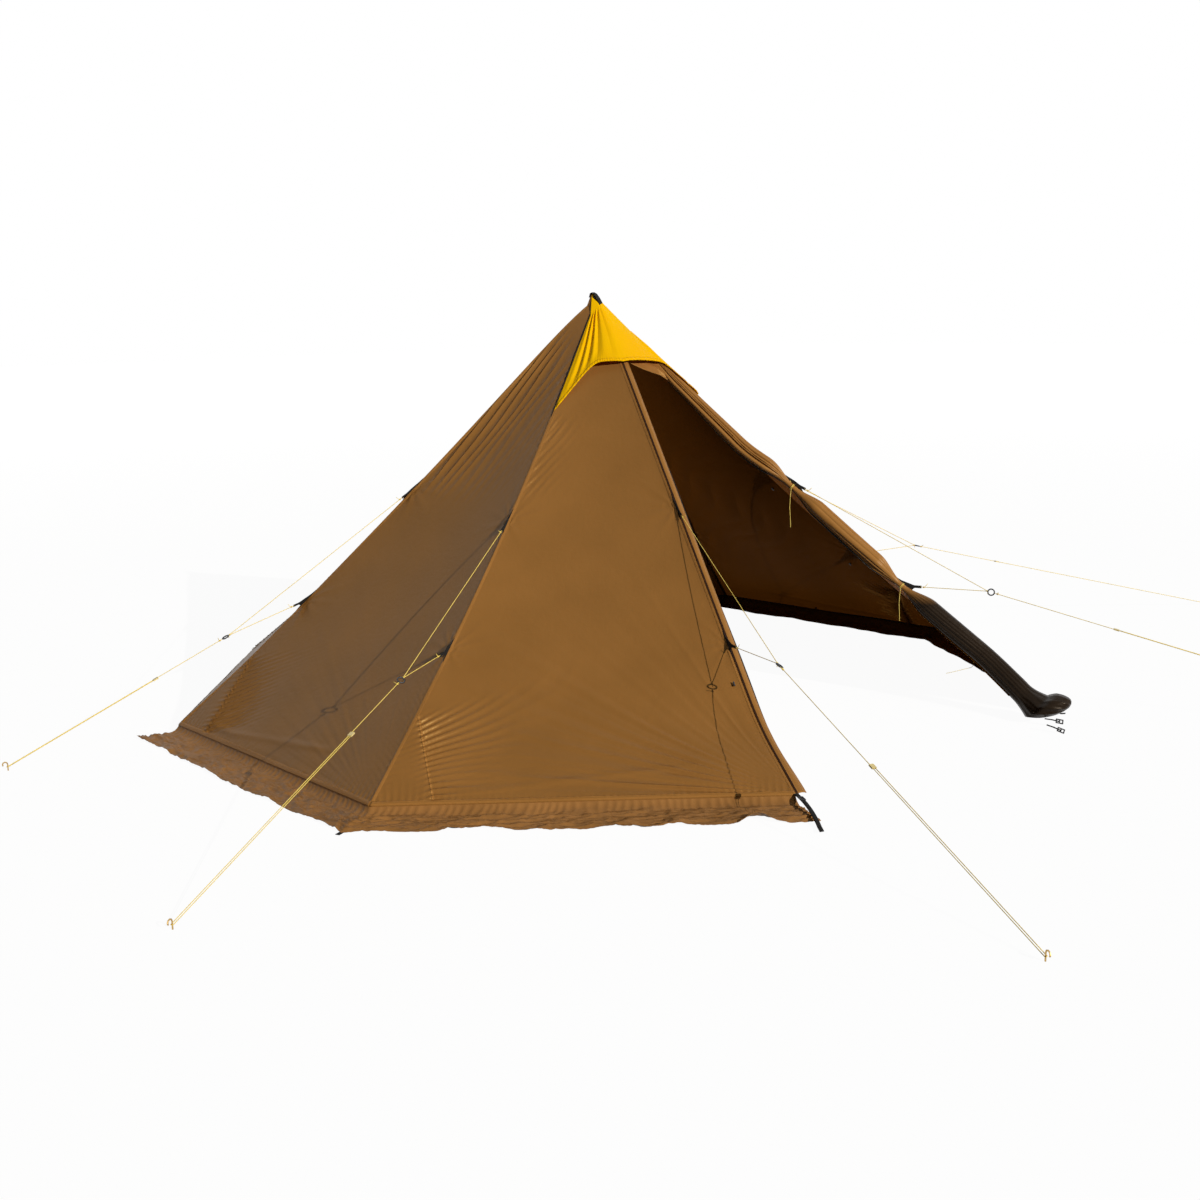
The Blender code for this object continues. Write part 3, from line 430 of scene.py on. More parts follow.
# %% Ridges and bays
SIDES = 8
BAYS = ("left", "front_left", "door", "front_right", "right", "back_right", "back", "back_left")
DOOR = BAYS.index("door")
CORNER_RADIUS = 2.30
APEX_HEIGHT = 2.085
HEM_HEIGHT = 0.05
KNEE_SHARE = 0.85
KNEE_ROUND = 0.05
CORNER_TURN = (0.8, -1.5, -1.8, 2.0, 0.3, 0.3, 0.0, 0.0)
CORNER_OUT = (-0.010, 0.055, -0.055, 0.020, 0.0, -0.040, 0.0, 0.0)
KNEE_DROP = (0.030, 0.055, 0.115, 0.030, 0.045, 0.045, 0.045, 0.045)
RIDGE_BOW = (0.010, 0.085, 0.0, 0.040, 0.040, 0.040, 0.040, 0.040)
# The pole's tip pushes the first ridge out a little, most at this share of it
RIDGE_SWELL = (0.028, 0.0, 0.0, 0.0, 0.0, 0.0, 0.0, 0.014)
SWELL_SHARE = 0.12
# The two ties hold the ridge beside the door up between them
TIED_RIDGE = DOOR + 1
TIED_RISE = ((0.20, 0.0), (0.43, 0.031), (0.62, 0.031), (0.90, 0.0))
SEAM_GAP = 0.0010
WALL_DIP = 0.035
# About the length of a wall from apex to hem, which turns a share into metres on the cloth
SLOPE = 2.9
UP = np.array((0.0, 0.0, 1.0))


def azimuth(k):
    k %= SIDES
    return math.radians(270.0 + 360.0 / SIDES * (k - DOOR - 0.5) + CORNER_TURN[k])


def outward(angle):
    return np.array((math.cos(angle), math.sin(angle), 0.0))


def corner_radius(k):
    return CORNER_RADIUS + CORNER_OUT[k % SIDES]


def ridge(k, share):
    """Points of ridge k: a shallow bow to the knee, a rounded knee, and straight to the hem."""
    share = np.asarray(share, float)
    fall = APEX_HEIGHT - HEM_HEIGHT
    knee = APEX_HEIGHT - fall * KNEE_SHARE - KNEE_DROP[k % SIDES]
    bow = RIDGE_BOW[k % SIDES]
    s = share / KNEE_SHARE
    upper = APEX_HEIGHT + (knee - APEX_HEIGHT) * s - bow * 4 * s * (1 - s)
    steep = (HEM_HEIGHT - knee) / (1 - KNEE_SHARE)
    height = np.where(share <= KNEE_SHARE, upper, knee + steep * (share - KNEE_SHARE))
    turn = steep - ((knee - APEX_HEIGHT) + bow * 4) / KNEE_SHARE
    near = np.maximum(KNEE_ROUND - np.abs(share - KNEE_SHARE), 0.0)
    height = height + turn * near**2 / (4 * KNEE_ROUND)
    height = height + RIDGE_SWELL[k % SIDES] * share / SWELL_SHARE * np.exp(1 - share / SWELL_SHARE)
    if k % SIDES == TIED_RIDGE:
        height = height + steps(TIED_RISE, share)
    return share[..., None] * corner_radius(k) * outward(azimuth(k)) + height[..., None] * UP


def bay_normal(k):
    apex = ridge(k, 0.0)
    return unit(np.cross(ridge(k, KNEE_SHARE) - apex, ridge(k + 1, KNEE_SHARE) - apex))


def share_at(k, radius):
    return radius / corner_radius(k)


print("ridge azimuths:", [round(math.degrees(azimuth(k)) % 360, 1) for k in range(SIDES)])

# %% [markdown]
# ## Sheets
#
# A sheet starts as Blender's own grid. Its two coordinates are read back, a function turns them
# into places on the tent, and the same coordinates in metres become the UV map, so that the
# weave keeps its size all over the cloth. Solidify gives it a thickness.

# %% Making a sheet
CLOTH_THICK = 0.0012


def set_map(mesh, flat):
    """Writes an array of one pair for each vertex as the UV map named cloth."""
    layer = mesh.uv_layers.new(name="cloth")
    corners = np.zeros(len(mesh.loops), np.int32)
    mesh.loops.foreach_get("vertex_index", corners)
    layer.data.foreach_set("uv", np.asarray(flat, np.float32)[corners].ravel())


def close_mesh(bm, name):
    mesh = bpy.data.meshes.new(name)
    bm.to_mesh(mesh)
    bm.free()
    return mesh


def grid_mesh(name, columns, rows, place):
    """A grid whose vertices and map place(u, v) gives, as arrays of points and of pairs."""
    bm = bmesh.new()
    bmesh.ops.create_grid(bm, x_segments=columns, y_segments=rows, size=0.5)
    mesh = close_mesh(bm, name)
    places = np.zeros(len(mesh.vertices) * 3, np.float32)
    mesh.vertices.foreach_get("co", places)
    places = places.reshape(-1, 3).astype(float)
    points, flat = place(places[:, 0] + 0.5, places[:, 1] + 0.5)
    mesh.vertices.foreach_set("co", points.astype(np.float32).ravel())
    set_map(mesh, flat)
    mesh.shade_smooth()
    mesh.update()
    return mesh


def thicken(piece, thickness=CLOTH_THICK, inside=None):
    """Gives a sheet its thickness, and its inner layer a material of its own if one is given."""
    wall = piece.modifiers.new("thickness", "SOLIDIFY")
    wall.thickness = thickness
    wall.offset = -1.0
    wall.use_even_offset = False
    if inside:
        piece.data.materials.append(inside)
        wall.material_offset = 1
    return piece


# %% [markdown]
# ## Walls
#
# Each wall is cut from one width of cloth, and its lower left corner is pieced on with a short
# seam. Tight thread gathers the cloth along every seam, so small puckers run out from it. Long
# folds fan out from the pegged corners, and short ones from the patches that the guys pull on.
# The relief is built as a height above the smooth wall, one kind of fold after another. A fold
# under tension has a sharp crest and a rounded valley, and crest() gives that profile.

# %% Folds
PIECE_UP = 0.50
PIECE_WIDE = 0.262
PUCKER = 0.034
RELIEF_STARTS = (0.22, 0.48)
# For each bay with its own pull on the pieced corner: how its puckers lean, and how far they run
PIECE_LEAN = {0: (0.28, 0.0, 0.13), 1: (-0.44, 0.80, 0.20)}
PIECE_LEAN_ELSE = (0.12, 0.55, 0.10)
# How high each kind of fold stands
SLACK_HIGH = 0.0050
PUCKER_HIGH = 0.0018
PIECE_HIGH = {0: 0.0125}
PIECE_HIGH_ELSE = 0.0095
HEM_FOLD_HIGH = 0.006
GATHER_HIGH = 0.0024
PATCH_HIGH = 0.0040
# How far from a ridge, the hem or a patch each kind runs
PUCKER_RUN = 0.055
GATHER_RUN = 0.05
PATCH_RUN = 0.08
GATHER_PITCH = 0.030
# The fold over the hem: how far up it lies, its width and its slope
HEM_FOLD = (0.06, 0.020, 0.15)
# Folds that fan out from the front left wall's lower corner are strong, and weak on the others
FAN_STRONG, FAN_WEAK, FAN_LEFT = 1.0, 0.2, 0.45
# Height and turns of each set of folds, its first phase and what each bay adds to it
FAN_FOLDS = ((0.0062, 8.2, 0.30, 0.37), (0.0036, 13.1, 0.4, 2.0), (0.0016, 22.0, 0.0, 0.21))
WALL_TOP_RADIUS = 0.03
VENT_TOP_RADIUS = 0.20
GUSSET_SHARES = (0.455, 0.710)


def crest(turns):
    """Height of a fold from -1 to 1, with a sharp crest at each whole turn."""
    return 1 - 2 * np.abs(np.sin(math.pi * turns)) ** 0.8


def piece_seam(left, up):
    """Distance from the pieced corner's seam, and how far up it, for places on a wall."""
    length = math.hypot(PIECE_UP, PIECE_WIDE)
    along = np.array((-PIECE_WIDE, PIECE_UP)) / length
    across = np.array((PIECE_UP, PIECE_WIDE)) / length
    x, y = left - PIECE_WIDE, up
    return x * across[0] + y * across[1], x * along[0] + y * along[1], length


def fan(x, y, folds, start, reach):
    """Long folds that spread from a corner, for distances x and y from it."""
    distance = np.hypot(x, y)
    angle = np.arctan2(y, np.maximum(x, 1e-6))
    wave = sum(size * crest(turns * angle + phase) for size, turns, phase in folds)
    low = ease(0.0, 0.08, angle) * (1 - 0.75 * ease(0.55, 1.0, angle))
    grow = np.minimum(distance / 0.45, 1.0) * ease(0.0, start, distance)
    return wave * low * grow * np.exp(-((distance / reach) ** 2))


def wall_relief(k, left, right, down, up):
    """Height of the folds on bay k, from distances in metres to its ridges, apex and hem."""
    seed = k + 1
    flat = np.stack([(left - right) * 1.6, down * 0.9, np.full(left.shape, float(seed))], axis=1)
    soft = rough(flat, seed)
    drift = rough(np.stack([left * 3, down * 4, right], axis=1), seed + 20)
    relief = SLACK_HIGH * soft
    for side in (left, right):
        phase = (down + side * 0.5) / PUCKER + 1.2 * drift
        size = PUCKER_HIGH * (0.6 + 0.8 * drift) * np.exp(-side / PUCKER_RUN)
        relief = relief + size * crest(phase)
    off, along, length = piece_seam(left, up)
    first, more, run = PIECE_LEAN.get(k, PIECE_LEAN_ELSE)
    lean = first + more * along / length
    gathered = np.where(off > 0, np.exp(-off / (run * (1 + 0.5 * drift))), np.exp(off / 0.022))
    inside = ease(-0.02, 0.04, along) * (1 - ease(length - 0.08, length, along))
    wave = crest((along - lean * np.maximum(off, 0.0)) / PUCKER + 0.5 * drift)
    relief = relief + PIECE_HIGH.get(k, PIECE_HIGH_ELSE) * inside * gathered * wave * (0.8 + 0.6 * drift)
    place, wide, tilt = HEM_FOLD
    fold = np.exp(-(((up - place - tilt * np.maximum(left - 0.45, 0.0)) / wide) ** 2))
    low = HEM_FOLD_HIGH * fold * ease(0.15, 0.35, left) * ease(0.2, 0.6, right)
    relief = relief + low * (0.7 + 0.5 * drift)
    gathers = crest((left + 0.4 * up) / GATHER_PITCH + 0.8 * drift)
    relief = relief + GATHER_HIGH * np.exp(-up / GATHER_RUN) * gathers
    strong = FAN_STRONG if k == DOOR - 1 else FAN_WEAK
    folds = [(size, turns, first + more * seed) for size, turns, first, more in FAN_FOLDS]
    relief = relief + strong * fan(right, up, folds, 0.15, 0.95)
    relief = relief + FAN_LEFT * fan(left, up, folds[1:], 0.12, 0.40)
    length = (down + up)[0]
    for share in GUSSET_SHARES:
        for side in (left, right):
            away = down - share * length
            distance = np.hypot(side, away)
            angle = np.arctan2(away, side + 1e-6)
            relief = relief + PATCH_HIGH * np.exp(-distance / PATCH_RUN) * crest(1.6 * angle + 0.3 * seed)
    return relief * ease(*RELIEF_STARTS, down)


def upper_folds(k, left, down):
    """Long slack folds: near the top of the two front walls, and on the one seen from inside."""
    if k == DOOR - 1:
        drift = rough(np.stack([left * 6, down * 5, left * 0], axis=1), 41)
        place = ease(0.68, 0.80, down) * (1 - ease(1.12, 1.24, down))
        folds = crest((down + left * 2.1) / 0.105 + 0.5 * drift)
        fine = crest((down + left * 1.6) / 0.048 + 0.7 * drift)
        broad = 0.0030 * np.exp(-((left / 0.13) ** 2)) * folds
        return place * ease(0.0, 0.03, left) * (broad + 0.0036 * np.exp(-((left / 0.07) ** 2)) * fine)
    if k == DOOR - 2:
        drift = rough(np.stack([left * 8, down * 1.5, left * 0], axis=1), 42)
        place = ease(0.2, 0.5, down) * (1 - ease(1.15, 1.4, down))
        return 0.0075 * place * np.exp(-left / 0.20) * crest((left - 0.12 * down) / 0.052 + 0.7 * drift)
    if k == DOOR + 2:
        drift = rough(np.stack([left * 2, down * 2, left * 0], axis=1), 43)
        place = ease(0.6, 1.1, down) * (1 - ease(2.0, 2.4, down))
        place = place * ease(0.15, 0.5, left)
        return 0.0024 * place * crest((down - 0.7 * left) / 0.16 + 0.9 * drift)
    return np.zeros(left.shape)


# %% Walls
WALL_FLAT = (1.76, 3.05)
WALL_CROWD = 0.45
WALL_DENSE_HEM = 1.35
# Columns and rows of a wall's grid: finer on the two walls seen from close by
WALL_FINE = (190, 250)
WALL_PLAIN = (110, 160)


def wall_slope(k):
    return np.linalg.norm(ridge(k, 1.0) + ridge(k + 1, 1.0) - ridge(k, 0.0) - ridge(k + 1, 0.0)) / 2


def on_wall(k, share, u, lift=0.0):
    """Points of bay k's outer face, raised by lift, and their places on the flat cloth."""
    start, end = ridge(k, share), ridge(k + 1, share)
    width = np.linalg.norm(end - start, axis=1)
    edge = SEAM_GAP / width
    inside = edge + (1 - 2 * edge) * u
    slope = wall_slope(k)
    left, right, down = width * u, width * (1 - u), slope * share
    dip = WALL_DIP * 4 * u * (1 - u) * np.sin(math.pi * share) ** 2
    relief = wall_relief(k, left, right, down, slope - down) + upper_folds(k, left, down)
    hold = ease(0.0, 0.012, np.minimum(left, right)) * ease(0.0, 0.015, slope - down)
    height = relief * hold - dip + lift
    points = start + (end - start) * inside[:, None] + bay_normal(k) * height[:, None]
    return points, np.stack([(left - right) / 2, down], axis=1)


def wall_place(k, top):
    """The whole wall, with its grid closer at the ridges and near the hem, where folds are fine."""

    def place(u, v):
        share = 1.0 + (top - 1.0) * v**WALL_DENSE_HEM
        return on_wall(k, share, u - WALL_CROWD * np.sin(math.tau * u) / math.tau)

    return place


def wall_top(k):
    return share_at(k, VENT_TOP_RADIUS if k == DOOR - 1 else WALL_TOP_RADIUS)


def make_wall(k, bay):
    grid = WALL_FINE if k in (DOOR - 2, DOOR - 1) else WALL_PLAIN
    mesh = grid_mesh(f"canopy_{bay}", *grid, wall_place(k, wall_top(k)))
    wall = thicken(add_piece(f"canopy_{bay}", mesh, CANOPY, [f"wall_{bay}"]), inside=INSIDE_SHADED)
    return wall


walls = {bay: make_wall(k, bay) for k, bay in enumerate(BAYS) if k != DOOR}
print(len(walls), "walls of", len(walls["left"].data.vertices), "vertices")

# %% [markdown]
# ## Seams
#
# Neighbouring walls are joined by a flat seam: both edges folded together and sewn down with two
# rows of thread. On the finished tent that is a narrow strip along each ridge, outside and
# inside. Each strip here follows the wall under it, folds and all, because on_wall() places both.
# The pieced corners and the hem get the same strip.

# %% Seam strips
SEAM_HALF = 0.010
SEAM_LIFT = 0.0010
SEAM_THICK = 0.0008
PIECE_SEAM_HALF = 0.006
HEM_UP = 0.014
HEM_DOWN = 0.010
HEM_STEP = 0.0030
SEAM_TOP = 0.09
BINDING_HIGH = 0.016


def make_strip(name, columns, rows, place, material, node):
    """A narrow sheet sewn on, with its thickness."""
    mesh = grid_mesh(name, columns, rows, place)
    strip = thicken(add_piece(name, mesh, material, [node]), SEAM_THICK)
    return strip


def seam_place(k, lift):
    sides = [side % SIDES for side in (k - 1, k) if side % SIDES != DOOR]
    top = SEAM_TOP if k in (DOOR - 1, DOOR) else share_at(k, WALL_TOP_RADIUS)

    def place(u, v):
        share = 1.0 + (top - 1.0) * v
        across = (2 * u - 1) * SEAM_HALF if len(sides) == 2 else SEAM_HALF * (u - (k == DOOR))
        points = np.zeros((len(u), 3))
        for side in sides:
            here = across < 0 if side == (k - 1) % SIDES else across >= 0
            if len(sides) == 1:
                here = np.ones(len(u), bool)
            width = np.linalg.norm(ridge(side + 1, share[here]) - ridge(side, share[here]), axis=1)
            aside = np.abs(across[here]) / width
            inside = 1 - aside if side == (k - 1) % SIDES else aside
            points[here] = on_wall(side, share[here], inside, lift)[0]
        return points, np.stack([across, share * SLOPE], axis=1)

    return place


def piece_seam_place(k):
    def place(u, v):
        left = np.maximum(PIECE_WIDE * (1 - v) + (2 * u - 1) * PIECE_SEAM_HALF, 0.0)
        up = PIECE_UP * v
        share = 1 - up / wall_slope(k)
        width = np.linalg.norm(ridge(k + 1, share) - ridge(k, share), axis=1)
        points, _ = on_wall(k, share, left / width, SEAM_LIFT)
        return points, np.stack([(2 * u - 1) * PIECE_SEAM_HALF, up], axis=1)

    return place


def hem_place(k):
    def place(u, v):
        up = HEM_UP - (HEM_UP + HEM_DOWN) * v
        above = np.maximum(up, 0.0)
        points, flat = on_wall(k, 1 - above / wall_slope(k), u, SEAM_LIFT)
        below = np.maximum(-up, 0.0)[:, None]
        out = unit(points * (1, 1, 0))
        points = points + out * (HEM_STEP * ease(0.0, HEM_DOWN, below) + 0.35 * below) - UP * below
        return points, np.stack([up + 0.002, flat[:, 0]], axis=1)

    return place


def binding_place(k):
    """Black tape along the inside of the hem."""

    def place(u, v):
        up = BINDING_HIGH * v
        points, flat = on_wall(k, 1 - up / wall_slope(k), u, -CLOTH_THICK - SEAM_LIFT)
        return points, np.stack([flat[:, 0], up], axis=1)

    return place


# Name, distance from the wall's outer side and cloth of a seam's two strips
SEAM_SIDES = (("outer", SEAM_LIFT, SEAM), ("inner", -CLOTH_THICK - SEAM_LIFT, SEAM_INSIDE_SHADED))


def make_seams():
    for k in range(SIDES):
        sides = [side % SIDES for side in (k - 1, k) if side % SIDES != DOOR]
        node = f"wall_{BAYS[sides[0]]}"
        for name, lift, cloth in SEAM_SIDES:
            place = seam_place(k, lift)
            make_strip(f"seam_{name}_{k}", 8, 220, place, cloth, node)
    for k, bay in enumerate(BAYS):
        if k == DOOR:
            continue
        node = f"wall_{bay}"
        make_strip(f"seam_piece_{bay}", 6, 90, piece_seam_place(k), SEAM, node)
        make_strip(f"seam_hem_{bay}", 180, 6, hem_place(k), SEAM, node)
        make_strip(f"hem_tape_{bay}", 180, 2, binding_place(k), WEBBING, node)


make_seams()

# %% [markdown]
# ## Snow skirt
#
# The skirt is a gathered strip sewn to the hem. It drops steeply, then lies crumpled on the
# ground. Crumples are sharp where cloth buckles, so the noise is folded at zero: its slope flips
# there and leaves a crease. Two runs follow the frame: one laid out round the two front walls,
# and one that is tucked in under the rest.

# %% Skirts
CLOTH = 0.002
TOUCH = 0.0003
SKIRT_OUT = 0.235
SKIRT_IN = -0.180
SKIRT_RUNS = (("front", 0, 2, SKIRT_OUT), ("back", 3, 5, SKIRT_IN))
SKIRT_SLOT = 0.002
SKIRT_SHORT = 0.945
SKIRT_CURVE = 9.0
SKIRT_WAVE = 0.010
# Where the tucked run starts, beside the rolled door, it is narrow and widens over this span of bays
SKIRT_NARROW = 0.10
SKIRT_WIDENS = (3.35, 4.15)
# How far the front run reaches, as a share of its full width, by the bays passed
SKIRT_SPREAD = ((0.0, 0.90), (0.5, 0.92), (1.0, 0.88), (1.5, 1.04), (2.0, 0.94))
# Bays passed, width and height of each arch in the laid out run's edge
SKIRT_ARCHES = ((1.70, 0.030, 0.014), (1.87, 0.035, 0.030))
SKIRT_LOW = 0.0016
SKIRT_CRUMPLE = 0.040
TUCKED_CRUMPLE = 0.008
SKIRT_RAGGED = 0.018
TUCKED_RAGGED = 0.002
SKIRT_ROWS = 44
SKIRT_COLUMNS = 250
TUCKED_COLUMNS = 170


def creases(points, scale, seed):
    """Crumpled noise: sharp ridges between rounded valleys, from 0 to 1."""
    return 1 - np.abs(rough(points * scale, seed)) ** 0.85


def skirt_place(first, bays, reach):
    slot = SKIRT_SLOT / corner_radius(first)
    crumpled = SKIRT_CRUMPLE if reach > 0 else TUCKED_CRUMPLE
    ragged = SKIRT_RAGGED if reach > 0 else TUCKED_RAGGED

    def place(u, v):
        around = first + slot + (bays - 2 * slot) * u
        s = 1 - v if reach > 0 else v
        k = np.floor(around + 1e-6).astype(int)
        inside = (around - k)[:, None]
        points = np.zeros((len(u), 3))
        step = TOUCH + s * reach * SKIRT_SHORT / math.cos(math.pi / SIDES)
        if reach < 0:
            step = step * (SKIRT_NARROW + (1 - SKIRT_NARROW) * ease(*SKIRT_WIDENS, around))
        else:
            step = step * np.interp(around, *zip(*SKIRT_SPREAD))
        for bay in np.unique(k):
            here = k == bay
            start = ridge(bay, 1.0) + outward(azimuth(bay)) * step[here, None]
            end = ridge(bay + 1, 1.0) + outward(azimuth(bay + 1)) * step[here, None]
            points[here] = start + (end - start) * inside[here]
        wide = 0.5 + 0.5 * np.sin(math.tau * 3.3 * around)
        fine = 0.5 + 0.5 * np.sin(math.tau * 7.6 * around + 1.0)
        low, top = SKIRT_LOW, HEM_HEIGHT - TOUCH - (CLOTH if reach < 0 else 0.0)
        points[:, 2] = low + (top - low) * (1 - s) ** SKIRT_CURVE + SKIRT_WAVE * s * (0.5 * wide + 0.3 * fine)
        flat = np.stack([around * WALL_FLAT[0], s * abs(reach), np.full(len(u), 0.0)], axis=1)
        loose = ease(0.05, 0.35, s)
        crumple = 0.5 * creases(flat * (0.55, 2.0, 1), 8, 51) + 0.35 * creases(flat * (0.6, 1.9, 1), 20, 52)
        crumple = crumple + 0.15 * creases(flat * (0.8, 1.5, 1), 46, 56)
        bunch = 1 + 0.8 * np.exp(-(((around - 1.0) / 0.05) ** 2))
        points[:, 2] += loose * bunch * crumpled * (crumple - 0.62)
        gather = crest(flat[:, 0] / 0.036 + 0.9 * rough(flat * 7, 53) + 1.5 * flat[:, 1])
        points[:, 2] += 0.0030 * gather * (1 - loose) * ease(0.0, 0.06, s)
        edge = rough(flat * (3.5, 0, 0), 54) + 0.28 * rough(flat * (13, 0, 0), 55)
        shift = s * ease(0.3, 1.0, s) * np.sign(reach) * ragged * edge
        for middle, wide, high in SKIRT_ARCHES:
            arch = np.exp(-(((around - middle) / wide) ** 2)) * s**2
            points[:, 2] += high * arch
            shift = shift - 0.9 * high * arch
        points += unit(points * (1, 1, 0)) * shift[:, None]
        points[:, 2] = np.maximum(points[:, 2], SKIRT_LOW)
        return points, flat[:, :2]

    return place


def make_skirt(name, first, bays, reach):
    columns, cloth = (SKIRT_COLUMNS, SKIRT) if reach > 0 else (TUCKED_COLUMNS, TUCKED_SHADED)
    mesh = grid_mesh(f"skirt_{name}", columns * bays, SKIRT_ROWS, skirt_place(first, bays, reach))
    skirt = thicken(add_piece(f"skirt_{name}", mesh, cloth, [f"snow_skirt_{name}"]))
    return skirt


skirts = [make_skirt(*run) for run in SKIRT_RUNS]
print("skirts:", [skirt.name for skirt in skirts])

# %% [markdown]
# ## Door roll
#
# The door panel is rolled lengthwise, so from outside it is a long bundle of folds that two ties
# pinch. It is made as a chain of rings. Each ring starts as a circle from bmesh and is cut by
# grooves, where one turn of cloth lies against the next. A groove is sharp at its bottom and
# soft at its shoulders, and each has its own place round the roll and its own length along it.

# %% Roll values
# Share along ridge 3, past 1 where the roll lies beyond the hem, and the roll's radius there
ROLL_FORM = ((0.13, 0.020), (0.20, 0.034), (0.35, 0.043), (0.60, 0.046))
ROLL_FORM += ((0.85, 0.053), (0.93, 0.055), (0.965, 0.056), (1.015, 0.088))
ROLL_NOSE = (1.010, 1.062)
ROLL_SAG = 0.004
ROLL_SAG_SHARES = (0.88, 1.0)
ROLL_ASIDE = 0.085
ROLL_ASIDE_SHARES = (0.86, 1.03)
ROLL_CLEAR = 0.0012
ROLL_STRAP_CLEAR = 0.013
ROLL_STRAP_SHARES = (0.90, 0.97)
ROLL_LEAN = 45.0
ROLL_LEAN_SHARES = (0.34, 0.44)
TIE_SHARES = (0.455, 0.700)
TIE_TAILS = (0.20, 0.17)
TIE_CINCH = 0.31
TIE_DRAW = 0.45
TIE_TURNS = 1.5
TIE_SIDES = 16
TIE_FLAT = 0.004
TIE_GRIP = 0.06
CORD_THICK = 0.003


def roll_frame():
    """Down ridge 3, across it into the doorway, and out through the doorway."""
    down = unit(ridge(TIED_RIDGE, KNEE_SHARE) - ridge(TIED_RIDGE, 0.0))
    out = bay_normal(DOOR)
    return down, unit(np.cross(down, out)), out


def tie_hold(share, grip=TIE_GRIP):
    """1 where a tie goes round the roll, falling to 0 beside it."""
    return max(float(1 - ease(TIE_FLAT, grip, abs(share - tie))) for tie in TIE_SHARES)


def roll_radius(share):
    return float(steps(ROLL_FORM, share)) * (1 - (1 - TIE_CINCH) * tie_hold(share))


def roll_centre(share):
    _, over, out = roll_frame()
    lean = math.radians(ROLL_LEAN) * float(ease(*ROLL_LEAN_SHARES, share))
    clear = ROLL_CLEAR + ROLL_STRAP_CLEAR * float(ease(*ROLL_STRAP_SHARES, share))
    point = ridge(TIED_RIDGE, min(share, 1.0))
    point = point + outward(azimuth(TIED_RIDGE)) * max(share - 1.0, 0.0) * corner_radius(TIED_RIDGE)
    away = float(steps(ROLL_FORM, share)) * (1 - TIE_DRAW * tie_hold(share)) + clear
    point = point + (over * math.cos(lean) + out * math.sin(lean)) * away
    point = point + over * (1, 1, 0) * ROLL_ASIDE * float(ease(*ROLL_ASIDE_SHARES, share))
    point[2] -= ROLL_SAG * float(ease(*ROLL_SAG_SHARES, share)) + float(steps(TIED_RISE, share))
    point[2] = max(point[2], roll_radius(share) + 2 * TOUCH)
    return point


def roll_nose(share):
    """1 along the roll, falling to almost 0 where its free end rounds off."""
    part = min(max((share - ROLL_NOSE[0]) / (ROLL_NOSE[1] - ROLL_NOSE[0]), 0.0), 0.995)
    return math.sqrt(1 - part**2)


# %% Roll
ROLL_AROUND = 110
ROLL_ALONG = 320
# Angle round the roll, depth, width, and the first and last share along ridge 3
ROLL_GROOVES = (
    (0.50, 0.50, 0.16, 0.08, 0.43),
    (1.15, 0.34, 0.10, 0.08, 0.47),
    (1.70, 0.26, 0.10, 0.08, 0.72),
    (0.82, 0.20, 0.05, 0.08, 0.45),
    (0.62, 0.12, 0.05, 0.72, 0.97),
    (0.98, 0.15, 0.06, 0.72, 0.97),
    (1.35, 0.12, 0.05, 0.72, 0.97),
    (-0.20, 0.14, 0.06, 0.72, 0.97),
    (-0.28, 0.20, 0.10, 0.08, 0.45),
    (-0.20, 0.40, 0.13, 0.47, 0.69),
    (0.22, 0.20, 0.07, 0.55, 0.69),
    (0.95, 0.10, 0.16, 0.49, 0.69),
    (0.25, 0.15, 0.11, 0.71, 0.97),
    (-0.90, 0.22, 0.12, 0.08, 0.97),
    (2.70, 0.25, 0.12, 0.08, 1.20),
    (3.60, 0.22, 0.12, 0.08, 1.20),
    (4.50, 0.25, 0.12, 0.08, 1.20),
)
ROLL_END = 0.965
# How far the grooves swing round the roll on their way down, how often, and how far they wander
ROLL_SWING, ROLL_SWINGS, ROLL_WANDER = 0.12, 9.0, 0.22


def roll_fold(share, angle):
    """The share of its radius that the roll keeps at each angle: less in its grooves."""
    slack = 1 - 0.70 * tie_hold(share, 0.05)
    wander = noise.noise(Vector((share * 7, 3.0, 0.0)))
    turn = ROLL_SWING * math.sin(ROLL_SWINGS * share) + ROLL_WANDER * wander
    keep = np.ones(angle.shape)
    for place, depth, wide, first, last in ROLL_GROOVES:
        here = float(ease(first - 0.02, first + 0.03, share) * (1 - ease(last - 0.03, last + 0.02, share)))
        away = np.abs(np.angle(np.exp(1j * (angle - place - turn))))
        keep = keep - here * slack * depth * np.exp(-away / wide)
    end = float(ease(ROLL_END - 0.02, ROLL_END + 0.03, share))
    spots = [noise.noise(Vector((math.cos(a) * 2.2, math.sin(a) * 2.2, share * 26))) for a in angle]
    pleats = crest(angle * 1.75 + 2.0 * share)
    return keep - 0.06 * end * np.abs(np.array(spots)) - 0.05 * end * (1 - pleats) / 2 - 0.02


def roll_point(share, angle, lift=0.0):
    """Points of the roll's skin at a share along it, for an array of angles round it."""
    _, over, out = roll_frame()
    radius = roll_radius(share) * roll_nose(share) * roll_fold(share, angle) + lift
    around = np.cos(angle)[:, None] * over + np.sin(angle)[:, None] * out
    return roll_centre(share) + around * radius[:, None]


# Heights over which the roll goes from the canopy's colour to all dark: it is darker towards the bottom
ROLL_FOOT_HEIGHTS = (0.62, 0.54)
ROLL_FOOT_TONE = (0.012, 0.0065, 0.003, 1)
ROLLED_GLOSS = 0.15
ROLLED_GLOSS_TINT = (1.0, 0.84, 0.66, 1)
ROLLED_SHARE = 0.06


